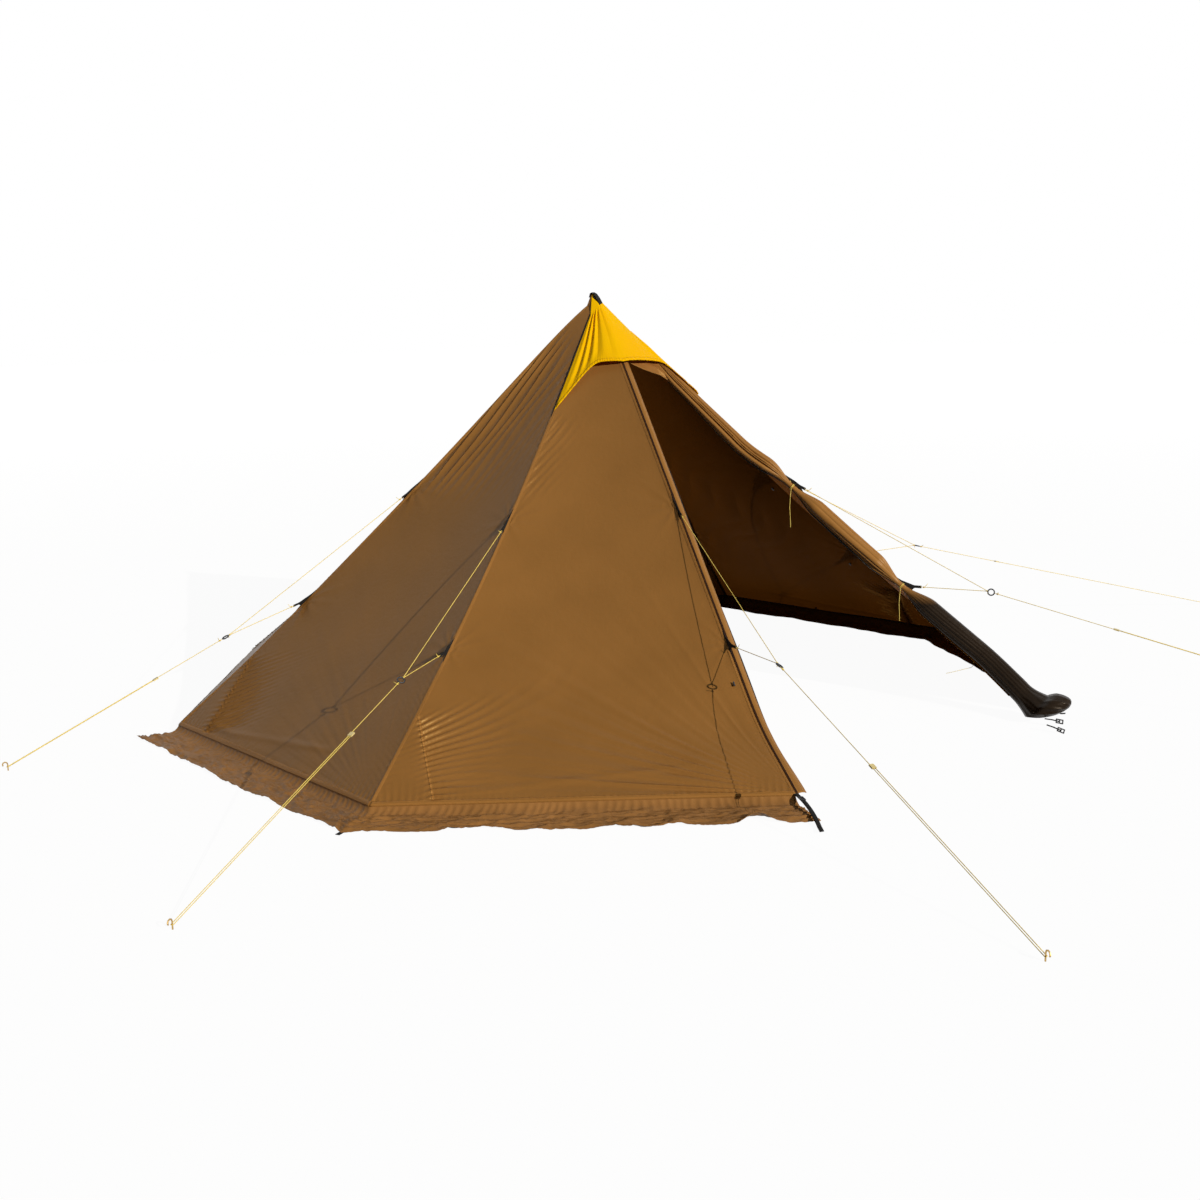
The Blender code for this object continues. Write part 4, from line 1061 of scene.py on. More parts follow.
def rolled_cloth():
    """The canopy's cloth, which turns dark brown towards the bottom of the roll, below the lower tie."""
    material = CANOPY.copy()
    material.name = "rolled_cloth"
    tree = material.node_tree
    shader = tree.nodes["Principled BSDF"]
    shader.inputs["Specular Tint"].default_value = ROLLED_GLOSS_TINT
    shader.inputs["Specular IOR Level"].default_value = ROLLED_GLOSS
    here = add_node(tree, "ShaderNodeTexCoord").outputs["Object"]
    height = add_node(tree, "ShaderNodeSeparateXYZ", [(0, here)]).outputs["Z"]
    tone = shader.inputs["Base Color"].links[0].from_socket
    colour = mixed_colour(tree, spread(tree, height, *ROLL_FOOT_HEIGHTS), tone, ROLL_FOOT_TONE)
    tree.links.new(colour, shader.inputs["Base Color"])
    tree.nodes["Mix Shader"].inputs[0].default_value = ROLLED_SHARE
    return material


ROLLED = rolled_cloth()


def make_roll():
    bm = bmesh.new()
    layer = bm.loops.layers.uv.new("cloth")
    loops = []
    angle = np.linspace(0.0, math.tau, ROLL_AROUND, endpoint=False)
    for share in np.linspace(ROLL_FORM[0][0], ROLL_NOSE[1], ROLL_ALONG):
        verts = bmesh.ops.create_circle(bm, cap_ends=False, segments=ROLL_AROUND, radius=1.0)["verts"]
        for vert, point in zip(verts, roll_point(share, angle)):
            vert.co = point
        loops.append([edge for edge in {edge for vert in verts for edge in vert.link_edges}])
    for near, far in zip(loops, loops[1:]):
        bmesh.ops.bridge_loops(bm, edges=[*near, *far])
    ends = bmesh.ops.holes_fill(bm, edges=[*loops[0], *loops[-1]], sides=ROLL_AROUND)["faces"]
    bmesh.ops.poke(bm, faces=ends)
    bmesh.ops.recalc_face_normals(bm, faces=bm.faces)
    down, over, out = (Vector(axis) for axis in roll_frame())
    for face in bm.faces:
        for loop in face.loops:
            loop[layer].uv = (loop.vert.co.dot(over) + loop.vert.co.dot(out), loop.vert.co.dot(down))
    mesh = close_mesh(bm, "door_panel_rolled")
    mesh.shade_smooth()
    return add_piece("door_panel_rolled", mesh, ROLLED, ["door_roll"])


roll = make_roll()
print("roll of", len(roll.data.polygons), "faces")

# %% [markdown]
# The door's edge is bound with black tape, and it shows as a thin line along the roll. It lies in
# a groove, so it is a narrow strip placed by the same function as the roll's skin.

# %% Door binding
def binding_strip(angle, turn, span, lift=0.0008):
    """A strip on the roll at an angle round it, as wide as a turn to both sides, along a span of shares."""

    def place(u, v):
        shares = span[0] + (span[1] - span[0]) * v
        angles = angle + turn * (2 * u - 1)
        points = np.array([roll_point(s, np.array([a]), lift)[0] for a, s in zip(angles, shares)])
        return points, np.stack([shares * SLOPE, u * 0.012], axis=1)

    return place


# Below the lower tie a turned edge of the door shows along the roll's underside, which lies in shade. Its
# bright orange is painted light that stands in for sunlight shining through the cloth
EDGE_PAINTED_LIGHT_TONES = (0.72, 0.30, 0.05, 1), (0.56, 0.22, 0.03, 1)
EDGE_PAINTED_LIGHT = coated_cloth("door_edge_painted_light", *EDGE_PAINTED_LIGHT_TONES, 0.2, 0.6, 0.02, 8.0)
turned = binding_strip(-0.90, 0.30, (0.705, 0.955), 0.0028)
make_strip("door_turned_edge", 24, 240, turned, EDGE_PAINTED_LIGHT, "door_roll")
bound = binding_strip(-0.62, 0.16, (0.15, 0.69))
make_strip("door_binding", 2, 200, bound, WEBBING, "door_roll")

# %% [markdown]
# ## Vent hood
#
# The hood is a yellow sheet over the two front bays, sewn along two ridges and open along its low
# edge. It bulges over the vent and rides over the rolled door. Slack folds run from its left tip
# up to the apex, where the sewn edge is shorter than the cloth beside it. The low edge is
# hemmed, so a band along it stands up a little.

# %% Hood
HOOD_DROP = 0.36
HOOD_LEFT_TIP = 0.19
HOOD_RIGHT_TIP = 0.17
HOOD_TIP_SPAN = 0.3
HOOD_BULGE = 0.040
HOOD_OVER_ROLL = 0.005
HOOD_CROWD = 1.6
# Place across the hood, depth and width of each slack fold
HOOD_FOLDS = ((0.07, 0.007, 0.022), (0.155, 0.008, 0.026), (0.26, 0.006, 0.034), (0.42, 0.002, 0.030))
HOOD_HEM = 0.050
HOOD_ROUND = 0.060
HOOD_CREASE = 0.34
HOOD_SOFT = 0.0025
HOOD_HEM_HIGH = 0.0018
HOOD_HEM_EDGE = 0.012
# Height of the puckers along the hem, how many there are and how far up they run
HOOD_PUCKER, HOOD_PUCKERS, HOOD_PUCKER_RUN = 0.0014, 44, 0.06
HOOD_HEM_LIFT = 0.0022
# The hem's strip stops a little before the hood's two edges
HOOD_HEM_ENDS = 0.01


def hood_low_radius(u):
    left = np.maximum(1 - u / HOOD_TIP_SPAN, 0.0)
    right = 0.85 * ease(0.85, 0.935, u) + 0.15 * ease(0.9, 1.0, u)
    return HOOD_DROP + HOOD_LEFT_TIP * left**2 + HOOD_RIGHT_TIP * right


def over_roll(share, offset):
    """Height that clears the rolled door at an offset from ridge 3."""
    first = ROLL_FORM[0][0]
    radius = steps(ROLL_FORM, share) * ease(first - 0.05, first, share)
    high, middle = radius + HOOD_OVER_ROLL, radius + ROLL_CLEAR
    near = np.sqrt(np.maximum(high**2 - (middle - offset) ** 2, 0.0)) * ease(0.0, 0.002, offset)
    far_share = np.clip((offset - middle) / np.maximum(2 * middle, 1e-9), 0.0, 1.0)
    far = high * (1 - far_share**2 * (3 - 2 * far_share))
    return np.where(radius <= 0.0, 0.0, np.where(offset <= middle, near, far))


def hood_place(u, v):
    left_side = u < 0.5
    inside = np.where(left_side, 2 * u, 1 - np.maximum(2 - 2 * u, 0.0) ** HOOD_CROWD)
    low = hood_low_radius(u)
    full = corner_radius(DOOR - 1) + (corner_radius(DOOR) - corner_radius(DOOR - 1)) * ease(0.15, 0.85, u)
    share = (low + (WALL_TOP_RADIUS - low) * v) / full
    points = np.zeros((len(u), 3))
    offset, middle = np.zeros(len(u)), np.zeros(len(u))
    for k, here in ((DOOR - 1, left_side), (DOOR, ~left_side)):
        start, end = ridge(k, share[here]), ridge(k + 1, share[here])
        width = np.linalg.norm(end - start, axis=1)
        points[here] = start + (end - start) * inside[here, None]
        offset[here] = (1 - inside[here]) * width
        middle[here] = width * (1 - inside[here] if k < DOOR else inside[here])
    blend = ease(0.40, 0.60, u)[:, None]
    normal = unit(bay_normal(DOOR - 1) * (1 - blend) + bay_normal(DOOR) * blend)
    lift = HOOD_BULGE * (1 - np.abs(2 * u - 1) ** 3) * (1 - v)
    lift = np.where(left_side, lift, np.maximum(lift, over_roll(share, offset)))
    rounding = HOOD_ROUND * (1 - v)
    lift = lift - HOOD_CREASE * (np.sqrt(middle**2 + rounding**2) - middle)
    folds = np.zeros(len(u))
    for place, deep, wide in HOOD_FOLDS:
        away = np.abs(u - place - 0.02 * np.sin(3 * v)) / wide
        folds = folds + deep * (0.45 * np.exp(-(((away - 1.9) / 0.9) ** 2)) - np.exp(-away))
    folds = folds * ease(0.0, 0.22, v) * (1 - ease(0.80, 1.0, v)) * ease(0.0, 0.03, u)
    soft = HOOD_SOFT * rough(np.stack([u * 5, v * 3, v * 0], axis=1), 62)
    soft = soft * ease(0.0, 0.1, u) * ease(0.0, 0.1, 1 - u)
    hem = HOOD_HEM_HIGH * (1 - ease(HOOD_HEM - HOOD_HEM_EDGE, HOOD_HEM, v))
    puckers = crest(u * HOOD_PUCKERS + 0.8 * rough(np.stack([u * 20, v, v], axis=1), 61))
    ripple = HOOD_PUCKER * puckers * np.exp(-v / HOOD_PUCKER_RUN)
    points = points + normal * (CLOTH + TOUCH + lift + folds + soft + hem + ripple)[:, None]
    return points, np.stack([u * 0.9, v * low], axis=1)


def hood_hem_place(u, v):
    """The doubled hem, raised square to the hood's own surface."""

    def at(along, rise=0.0):
        return hood_place(HOOD_HEM_ENDS + (1 - 2 * HOOD_HEM_ENDS) * along, HOOD_HEM * v + rise)

    points, flat = at(u)
    across = at(np.minimum(u + 0.004, 1.0))[0] - at(np.maximum(u - 0.004, 0.0))[0]
    normal = unit(np.cross(across, at(u, 0.02)[0] - points))
    return points + HOOD_HEM_LIFT * normal, np.stack([v * 0.018 - 0.009, flat[:, 0]], axis=1)


hood_mesh = grid_mesh("vent_cover", 200, 110, hood_place)
hood = thicken(add_piece("vent_cover", hood_mesh, HOOD, ["vent_hood"]))
make_strip("vent_cover_hem", 260, 4, hood_hem_place, HOOD, "vent_hood")
print("hood of", len(hood_mesh.vertices), "vertices")

# %% [markdown]
# Dark piping covers the hood's left seam; it is widest in the middle, partly as painted shade in the
# groove beside the seam. The top of the door hangs as a swag between the doorway's left edge and
# the roll, half hidden by the hood.

# %% Hood piping with painted shade, and door swag
PIPING_SHADE_WIDE = 0.010
SWAG_LOW = ((0.10, 0.140), (0.19, 0.149), (0.478, 0.166), (0.75, 0.180), (0.93, 0.215))
SWAG_SAG = 0.012
SWAG_TOP = 0.090
SWAG_FOLD = 0.0030
SWAG_SINK = 0.006
PIPING_SHADE_SHARES = (0.245, 0.022)


# A dark strip along the hood's left seam: the seam's piping, and painted shade in the groove beside it where
# it widens
def piping_and_shade_place(u, v):
    low, top = PIPING_SHADE_SHARES
    share = low + (top - low) * v
    width = np.linalg.norm(ridge(DOOR - 1, share) - ridge(DOOR - 2, share), axis=1)
    wide = PIPING_SHADE_WIDE * (0.35 + 0.65 * np.sin(math.pi * v) ** 0.5)
    points, _ = on_wall(DOOR - 2, share, 1 - (1 - u) * wide / width, 2.4 * SEAM_LIFT)
    return points, np.stack([share * SLOPE, u * PIPING_SHADE_WIDE], axis=1)


make_strip("hood_piping_and_shade", 4, 60, piping_and_shade_place, WEBBING, "vent_hood")


def swag_place(u, v):
    inside = SWAG_LOW[0][0] + (SWAG_LOW[-1][0] - SWAG_LOW[0][0]) * u
    low = np.interp(inside, [row[0] for row in SWAG_LOW], [row[1] for row in SWAG_LOW])
    share = low + (SWAG_TOP - low) * v
    start, end = ridge(DOOR, share), ridge(DOOR + 1, share)
    sag = SWAG_SAG * np.sin(math.pi * np.clip(v * 1.4, 0, 1)) + SWAG_FOLD * crest(v * 3.2 + 0.6 * u)
    points = start + (end - start) * inside[:, None] + bay_normal(DOOR) * (sag - SWAG_SINK)[:, None]
    return points, np.stack([inside * 0.34, share * SLOPE], axis=1)


make_strip("door_top_swag", 60, 24, swag_place, CANOPY, "door_roll")

# %% [markdown]
# ## Apex
#
# The walls meet in a small cloth cone over the pole's tip, and a doubled black webbing loop is
# sewn on top, to hang the tent up by. The cone is a sheet wrapped round the pole's axis. Its
# lower edge follows the eight ridges, and it closes to a blunt round tip.

# %% Apex cone and loop
CONE_TOP = 0.011
CONE_CLOSE = 0.90
CONE_TIP = Vector((-0.016, 0.016, APEX_HEIGHT + 0.022))
CONE_LIFT = 0.0012


def cone_place(first, bays, low):
    def place(u, v):
        around = first + bays * u
        k = np.minimum(np.floor(around + 1e-9), first + bays - 1).astype(int)
        inside = (around - k)[:, None]
        foot = np.zeros((len(u), 3))
        for bay in np.unique(k):
            here = k == bay
            share = np.full(int(here.sum()), low / corner_radius(bay))
            foot[here] = on_wall(bay % SIDES, share, inside[here, 0], SEAM_LIFT)[0]
        around_axis = unit(foot * (1, 1, 0))
        rise = np.minimum(v / CONE_CLOSE, 1.0)[:, None]
        close = np.clip((v - CONE_CLOSE) / (1 - CONE_CLOSE), 0.0, 0.97)[:, None]
        rim = np.array(CONE_TIP) - UP * CONE_TOP + around_axis * CONE_TOP * np.sqrt(1 - close**2)
        points = foot * (1 - rise) + rim * rise + UP * CONE_TOP * close
        points = points + (around_axis * 0.7 + UP * 0.7) * CONE_LIFT * (1 - rise)
        return points, np.stack([around * 0.08, v * 0.15], axis=1)

    return place


def make_cone(name, first, bays, material, low):
    mesh = grid_mesh(name, 16 * bays, 40, cone_place(first, bays, low))
    cone = thicken(add_piece(name, mesh, material, ["apex_cap"]))


make_cone("apex_cone", 3, 6, CANOPY, 0.055)
make_cone("apex_cone_front", 1, 2, HOOD, 0.090)

LOOP_WIDE = 0.034
LOOP_THICK = 0.0016
LOOP_TURN = 282.0
# Along the loop: distance out from the tip, and height over the tip
LOOP_PATH = ((-0.016, -0.020), (-0.009, 0.001), (0.004, 0.006), (0.018, -0.002), (0.034, -0.022))
LOOP_PATH += ((0.052, -0.052), (0.060, -0.072), (0.057, -0.080), (0.050, -0.074), (0.040, -0.054))
LOOP_PATH += ((0.026, -0.032), (0.012, -0.014))


def loop_place(u, v):
    away = outward(math.radians(LOOP_TURN))
    side = np.cross(away, UP)
    steps_along = np.linspace(0.0, 1.0, len(LOOP_PATH))
    out = np.interp(v, steps_along, [row[0] for row in LOOP_PATH])
    rise = np.interp(v, steps_along, [row[1] for row in LOOP_PATH])
    wide = LOOP_WIDE * (0.72 + 0.28 * ease(0.1, 0.4, v))
    points = np.array(CONE_TIP) + away * out[:, None] + UP * rise[:, None]
    return points + side * ((u - 0.5) * wide)[:, None], np.stack([v * 0.22, u * LOOP_WIDE], axis=1)


loop_mesh = grid_mesh("hanging_loop", 6, 66, loop_place)
loop = thicken(add_piece("hanging_loop", loop_mesh, WEBBING, ["apex_loop"]), LOOP_THICK)
print("apex:", loop.name)

# %% [markdown]
# ## Guying
#
# On seven of the ridges two black patches take the pull. A cord from each meets the other at a
# metal ring, and the guy line runs from the ring through a tensioner to its peg. It comes back
# from the peg and ends in the tensioner. That last strand is made as a plain mesh tube.

# %% Guying values
GUYED = (0, 1, 2, 3, 4, 5, 6)
GUSSET_BASE = 0.110
GUSSET_REACH = 0.082
GUSSET_TIP = 0.014
GUSSET_THICK = 0.0025
# Share of the patch's reach, and half of its width there
GUSSET_SIDE = ((0.10, 0.040), (0.22, 0.0275), (0.36, 0.0175), (0.50, 0.0100), (0.60, 0.0070), (1.00, 0.0068))
GUY_TURN = (4.9, -0.1, 0.4, 0.8, 0.6, 0.0, 0.0)
RING_REACH = 2.07
RING_HEIGHT = 0.55
RING_RAISE = (-0.050, -0.045, 0.0, 0.050, 0.040, 0.0, 0.0)
RING_OUTER = 0.038
RING_SECTION = 0.005
RING_TWIST = (90, 60, 60, 0, 90, 0, 0)
PEG_REACH = (3.10, 3.55, 3.84, 4.27, 4.38, 3.90, 3.50)
PEG_ROD = 0.006
PEG_LINE_HEIGHT = 0.018
TENSIONER_DROP = (0.36, 0.39, 0.75, 0.60, 0.60, 0.50, 0.45)
LINE_STRAIGHT = 0.02
LEG_NAMES = ("upper", "lower")
BESIDE = PEG_ROD / 2 + CORD_THICK / 2 + TOUCH


def guy_direction(k):
    return outward(azimuth(k) + math.radians(GUY_TURN[k]))


def ring_centre(k):
    return guy_direction(k) * RING_REACH + UP * (RING_HEIGHT + RING_RAISE[k])


def gusset(k, share):
    """The outline of a patch, its tip, the way its cord leaves and its flat side's normal."""
    middle = ridge(k, share)
    half = GUSSET_BASE / 2 / corner_radius(k)
    along = unit(ridge(k, share + half) - ridge(k, share - half))
    pull = unit(ring_centre(k) - middle)
    rise = unit(pull - along * pull.dot(along))
    tip = middle + pull * GUSSET_REACH
    aside = unit(along - pull * along.dot(pull))
    base = rise * 2 * TOUCH
    upper, lower = [ridge(k, share - half) + base], [ridge(k, share + half) + base]
    for reach, wide in GUSSET_SIDE:
        way = unit(along * (1 - reach) + aside * reach) * wide
        upper.append(middle + pull * GUSSET_REACH * reach - way)
        lower.append(middle + pull * GUSSET_REACH * reach + way)
    return [*upper, *reversed(lower)], tip, pull, np.cross(along, rise)


def line_ends(k):
    """The main line's two ends, beside the peg's rod and at the ring, and the way aside."""
    away = guy_direction(k)
    side = np.cross(away, UP)
    rod_place = away * PEG_REACH[k] + UP * PEG_LINE_HEIGHT
    start = rod_place + side * BESIDE
    end = ring_centre(k) + unit(start - ring_centre(k)) * (RING_OUTER / 2 + TOUCH)
    return rod_place, start, end, side


def ring_eye(k):
    """The inner end of the ring, where both bridle legs are tied."""
    _, start, _, _ = line_ends(k)
    return ring_centre(k) - unit(start - ring_centre(k)) * (RING_OUTER - RING_SECTION) / 2


# %% Cords


def route_length(points):
    return float(sum(np.linalg.norm(b - a) for a, b in zip(points, points[1:])))


def cord_curve(name, points, thickness=CORD_THICK):
    curve = bpy.data.curves.new(name, "CURVE")
    curve.dimensions = "3D"
    curve.bevel_depth = thickness / 2
    curve.bevel_resolution = 3
    curve.use_fill_caps = True
    spline = curve.splines.new("POLY")
    spline.points.add(len(points) - 1)
    for target, point in zip(spline.points, points):
        target.co = (*point, 1.0)
    return curve


def cord_mesh(name, points, thickness=CORD_THICK):
    """The same cord as a mesh tube, for the strands back to the tensioners and for knots."""
    guide = bpy.data.objects.new(name, cord_curve(name, points, thickness))
    mesh = bpy.data.meshes.new_from_object(guide)
    bpy.data.objects.remove(guide)
    bm = bmesh.new()
    bm.from_mesh(mesh)
    bmesh.ops.remove_doubles(bm, verts=bm.verts, dist=1e-6)
    bm.to_mesh(mesh)
    bm.free()
    return mesh


def lay_cord(name, points, node, thickness=CORD_THICK):
    """A cord along points, on the tent's own body."""
    cord = add_piece(name, cord_curve(name, points, thickness), CORD, [node])


def straight(start, end, count):
    return [start + (end - start) * i / count for i in range(count + 1)]


def make_lines(k):
    """Two bridle legs, the line from ring to peg, and the strand back to the tensioner."""
    knot = ring_eye(k)
    for number, share in enumerate(GUSSET_SHARES):
        _, tip, pull, _ = gusset(k, share)
        points = straight(tip - pull * GUSSET_TIP / 2, knot, 6)
        lay_cord(f"bridle_{k}_{LEG_NAMES[number]}", points, f"guy_bridle_{k}")
    rod_place, start, end, side = line_ends(k)
    along = unit(end - start)
    away = guy_direction(k)
    turns = [math.pi / 8 * step for step in range(9)]
    loop = [rod_place + (side * math.cos(a) + away * math.sin(a)) * BESIDE for a in turns]
    over = unit(side - along * side.dot(along))
    second = start - over * 2 * BESIDE
    ahead = along * LINE_STRAIGHT
    lay_cord(f"guy_line_{k}_main", [*straight(end, start + ahead, 8), *loop, second + ahead], f"guy_line_{k}")
    tensioner = end + unit(start - end) * TENSIONER_DROP[k]
    back = second + along * np.linalg.norm(tensioner - start)
    points = straight(second + ahead, back, 24)
    name = f"guy_line_{k}_return"
    strand = link(name, cord_mesh(name, points))
    strand.data.materials.append(CORD)
    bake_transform(strand)
    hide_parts(f"guy_line_{k}")


for k in GUYED:
    make_lines(k)

# %% [markdown]
# ## Knots
#
# Each bridle leg is knotted at its patch and at the ring, and the line is knotted below the ring.
# A knot is a few tight turns of the same cord round itself, with a short tail. A helix gives the
# turns, and all the knots of one ridge are joined in one mesh.

# %% Knots
KNOT_TURNS = 2.6
KNOT_RADIUS = 0.0030
KNOT_LONG = 0.0085
KNOT_TAIL = 0.020
KNOT_STEPS = 26
KNOT_ASIDE = 0.012
KNOT_THICK = CORD_THICK * 0.85


def knot_route(place, along, tail):
    """A helix round a cord at a place, ending in a tail that stands off it."""
    side = unit(np.cross(along, UP))
    other = np.cross(along, side)
    points = []
    for i in range(KNOT_STEPS + 1):
        turn = math.tau * KNOT_TURNS * i / KNOT_STEPS
        reach = (side * math.cos(turn) + other * math.sin(turn)) * KNOT_RADIUS
        points.append(place + reach + along * KNOT_LONG * (i / KNOT_STEPS - 0.5))
    last = points[-1]
    off = unit(last - place + tail)
    for part in (0.3, 0.65, 1.0):
        points.append(last + off * KNOT_TAIL * part + UP * 0.15 * KNOT_TAIL * part**2)
    return points


def make_knots(k):
    routes = []
    for share in GUSSET_SHARES:
        _, tip, pull, _ = gusset(k, share)
        routes.append(knot_route(tip + pull * KNOT_ASIDE, pull, (UP + pull) * 0.6))
    _, start, end, side = line_ends(k)
    line = unit(start - end)
    routes.append(knot_route(end + line * KNOT_ASIDE, line, side + UP * 0.4))
    routes.append(knot_route(ring_eye(k) - line * 0.006, line, side * 0.3 - UP))
    bm = bmesh.new()
    for route in routes:
        mesh = cord_mesh("knot", route, KNOT_THICK)
        bm.from_mesh(mesh)
        bpy.data.meshes.remove(mesh)
    bmesh.ops.recalc_face_normals(bm, faces=bm.faces)
    mesh = close_mesh(bm, f"guy_knots_{k}")
    mesh.shade_smooth()
    add_piece(f"guy_knots_{k}", mesh, CORD, [f"guy_bridle_{k}"])


for k in GUYED:
    make_knots(k)

# %% [markdown]
# ## Patches and rings
#
# A patch is a triangle of black cloth that narrows to a strip of webbing. Its outline is laid
# down, extruded to its thickness and bevelled. A ring is a small circle spun about the ring's
# centre, and each ring hangs twisted about its line as it will.

# %% Patches and rings
SHARP = math.radians(40)
RING_BODY = 0.0066
RING_SIDES = 12
RING_STEPS = 48


def extrude(bm, faces, depth):
    grown = bmesh.ops.extrude_face_region(bm, geom=faces)
    moved = [item for item in grown["geom"] if isinstance(item, bmesh.types.BMVert)]
    bmesh.ops.translate(bm, verts=moved, vec=depth)


def full_spin(bm, geometry, centre, axis, count):
    bmesh.ops.spin(bm, geom=geometry, cent=centre, axis=axis, angle=math.tau, steps=count,
                   use_merge=True, use_duplicate=False)
    bmesh.ops.remove_doubles(bm, verts=bm.verts, dist=1e-6)


def mapped_mesh(bm, name, x_axis, y_axis, bevel=0.0):
    """Ends a bmesh as a mesh with rounded edges and a map in metres along two axes."""
    bmesh.ops.recalc_face_normals(bm, faces=bm.faces)
    if bevel:
        sharp = [edge for edge in bm.edges if edge.calc_face_angle(0.0) > SHARP]
        bmesh.ops.bevel(bm, geom=sharp, offset=bevel, segments=2, profile=0.5, affect="EDGES", material=-1)
    layer = bm.loops.layers.uv.new("cloth")
    for face in bm.faces:
        for loop in face.loops:
            loop[layer].uv = (loop.vert.co.dot(Vector(x_axis)), loop.vert.co.dot(Vector(y_axis)))
    mesh = close_mesh(bm, name)
    mesh.shade_smooth()
    mesh.set_sharp_from_angle(angle=SHARP)
    return mesh


def make_patches(k):
    for number, share in enumerate(GUSSET_SHARES):
        outline, _, pull, normal = gusset(k, share)
        bm = bmesh.new()
        depth = Vector(normal) * GUSSET_THICK
        extrude(bm, [bm.faces.new([bm.verts.new(Vector(point) - depth / 2) for point in outline])], depth)
        name = f"guy_patch_{k}_{LEG_NAMES[number]}"
        mesh = mapped_mesh(bm, name, pull, unit(np.cross(normal, pull)), 0.0005)
        add_piece(name, mesh, WEBBING, [f"guy_bridle_{k}"])


def make_ring(k):
    _, start, _, _ = line_ends(k)
    centre = ring_centre(k)
    toward = unit(start - centre)
    level = np.cross(guy_direction(k), UP)
    twist = math.radians(RING_TWIST[k])
    flat = level * math.cos(twist) + np.cross(toward, level) * math.sin(twist)
    matrix = Matrix((toward, flat, np.cross(toward, flat))).transposed().to_4x4()
    matrix.translation = Vector(centre + toward * (RING_OUTER - RING_BODY) / 2)
    bm = bmesh.new()
    round_form = {"cap_ends": False, "segments": RING_SIDES, "radius": RING_BODY / 2, "matrix": matrix}
    section = bmesh.ops.create_circle(bm, **round_form)["verts"]
    edges = list({edge for vert in section for edge in vert.link_edges})
    full_spin(bm, [*section, *edges], centre, flat, RING_STEPS)
    mesh = mapped_mesh(bm, f"guy_ring_{k}", toward, UP)
    add_piece(f"guy_ring_{k}", mesh, RING, [f"guy_bridle_{k}"])


for k in GUYED:
    make_patches(k)
    make_ring(k)
print("patches and rings on", len(GUYED), "ridges")

# %% [markdown]
# ## Door ties
#
# A tie goes from the ridge's seam one and a half turns round the roll and hangs down as a tail.

# %% Ties
TIE_SWAY = ((0.2, 0.010), (0.45, 0.016), (0.7, 0.010), (1.0, 0.004))


def tie_route(share, tail):
    down, over, out = roll_frame()
    centre = roll_centre(share)
    loop = (roll_radius(share) + CORD_THICK / 2 + TOUCH) / math.cos(math.pi / TIE_SIDES)
    seam = ridge(DOOR + 1, share) + over * (CORD_THICK / 2 + SEAM_GAP) - out * CLOTH / 2
    lead = (centre - over * loop - seam) / 2
    points = [seam - down * 3 * CORD_THICK, seam + lead - out * CORD_THICK - down * 2 * CORD_THICK]
    for i in range(int(TIE_TURNS * TIE_SIDES) + 1):
        angle = math.pi - math.tau * i / TIE_SIDES
        drift = down * CORD_THICK * (1.6 * i / TIE_SIDES - 0.8)
        points.append(centre + (over * math.cos(angle) + out * math.sin(angle)) * loop + drift)
    last = points[-1]
    for part, sway in TIE_SWAY:
        points.append(last - UP * tail * part + over * sway)
    return points


for name, share, tail in zip(LEG_NAMES, TIE_SHARES, TIE_TAILS):
    lay_cord(f"tie_{name}", tie_route(share, tail), f"door_tie_{name}")

# %% [markdown]
# ## Door edge and corners
#
# The storm flap and the zip tape run down the left side of the doorway. The flap is doubled and
# stuffed by its own hems, so it stands up as a rounded strip with a groove on each side.

# %% Door edge
FLAP_WIDTH = 0.042
FLAP_RAISE = 0.002
FLAP_CROWN = 0.0050
FLAP_WAVE = 0.0020
# How much wider the flap is at its foot
FLAP_FOOT = 0.35
FLAP_TOP_SHARE = 0.12
# Width and lift of the dark strip of painted shade along the flap's sewn edge
FLAP_SHADE_WIDE = 0.012
FLAP_SHADE_LIFT = 0.0026
TAPE_WIDTH = 0.030
TAPE_SINK = 0.014
TAPE_THICK = 0.0012


def by_edge(share, aside, height):
    """Points beside ridge 2: aside into the doorway, and at a height over its plane."""
    down = unit(ridge(DOOR, KNEE_SHARE) - ridge(DOOR, 0.0))
    out = bay_normal(DOOR)
    over = unit(np.cross(out, down))
    return ridge(DOOR, share) + over * aside[:, None] + out * np.reshape(height, (-1, 1))


def flap_share(v):
    return 1.0 + (FLAP_TOP_SHARE - 1.0) * v


def flap_place(u, v):
    share = flap_share(v)
    wide = FLAP_WIDTH * (1 + FLAP_FOOT * ease(0.90, 1.0, share))
    aside = SEAM_GAP + wide * u
    wave = FLAP_WAVE * rough(np.stack([share * 9, u * 0.5, u * 0], axis=1), 71)
    crown = FLAP_CROWN * np.sin(math.pi * ease(0.30, 0.96, u)) ** 0.5 + wave * ease(0.3, 0.6, u)
    points = by_edge(share, aside, FLAP_RAISE * u + crown)
    return points, np.stack([aside - SEAM_GAP - FLAP_WIDTH / 2, share * SLOPE], axis=1)


def flap_shade_place(u, v):
    """A dark strip along the flap's sewn edge: painted shade for the gap between the wall's seam and the
    flap.
    """
    aside = SEAM_GAP + FLAP_SHADE_WIDE * (0.1 + 0.9 * u)
    return by_edge(flap_share(v), aside, FLAP_SHADE_LIFT), np.stack([aside, flap_share(v) * SLOPE], axis=1)


def tape_place(u, v):
    aside = SEAM_GAP + TAPE_WIDTH * u
    sink = CLOTH + 3 * TOUCH + TAPE_SINK * u
    return by_edge(flap_share(v), aside, -sink), np.stack([aside, flap_share(v) * SLOPE], axis=1)


def edge_strip(name, columns, rows, place, cloth, node, thick):
    strip = add_piece(name, grid_mesh(name, columns, rows, place), cloth, [node])
    thicken(strip, thick)


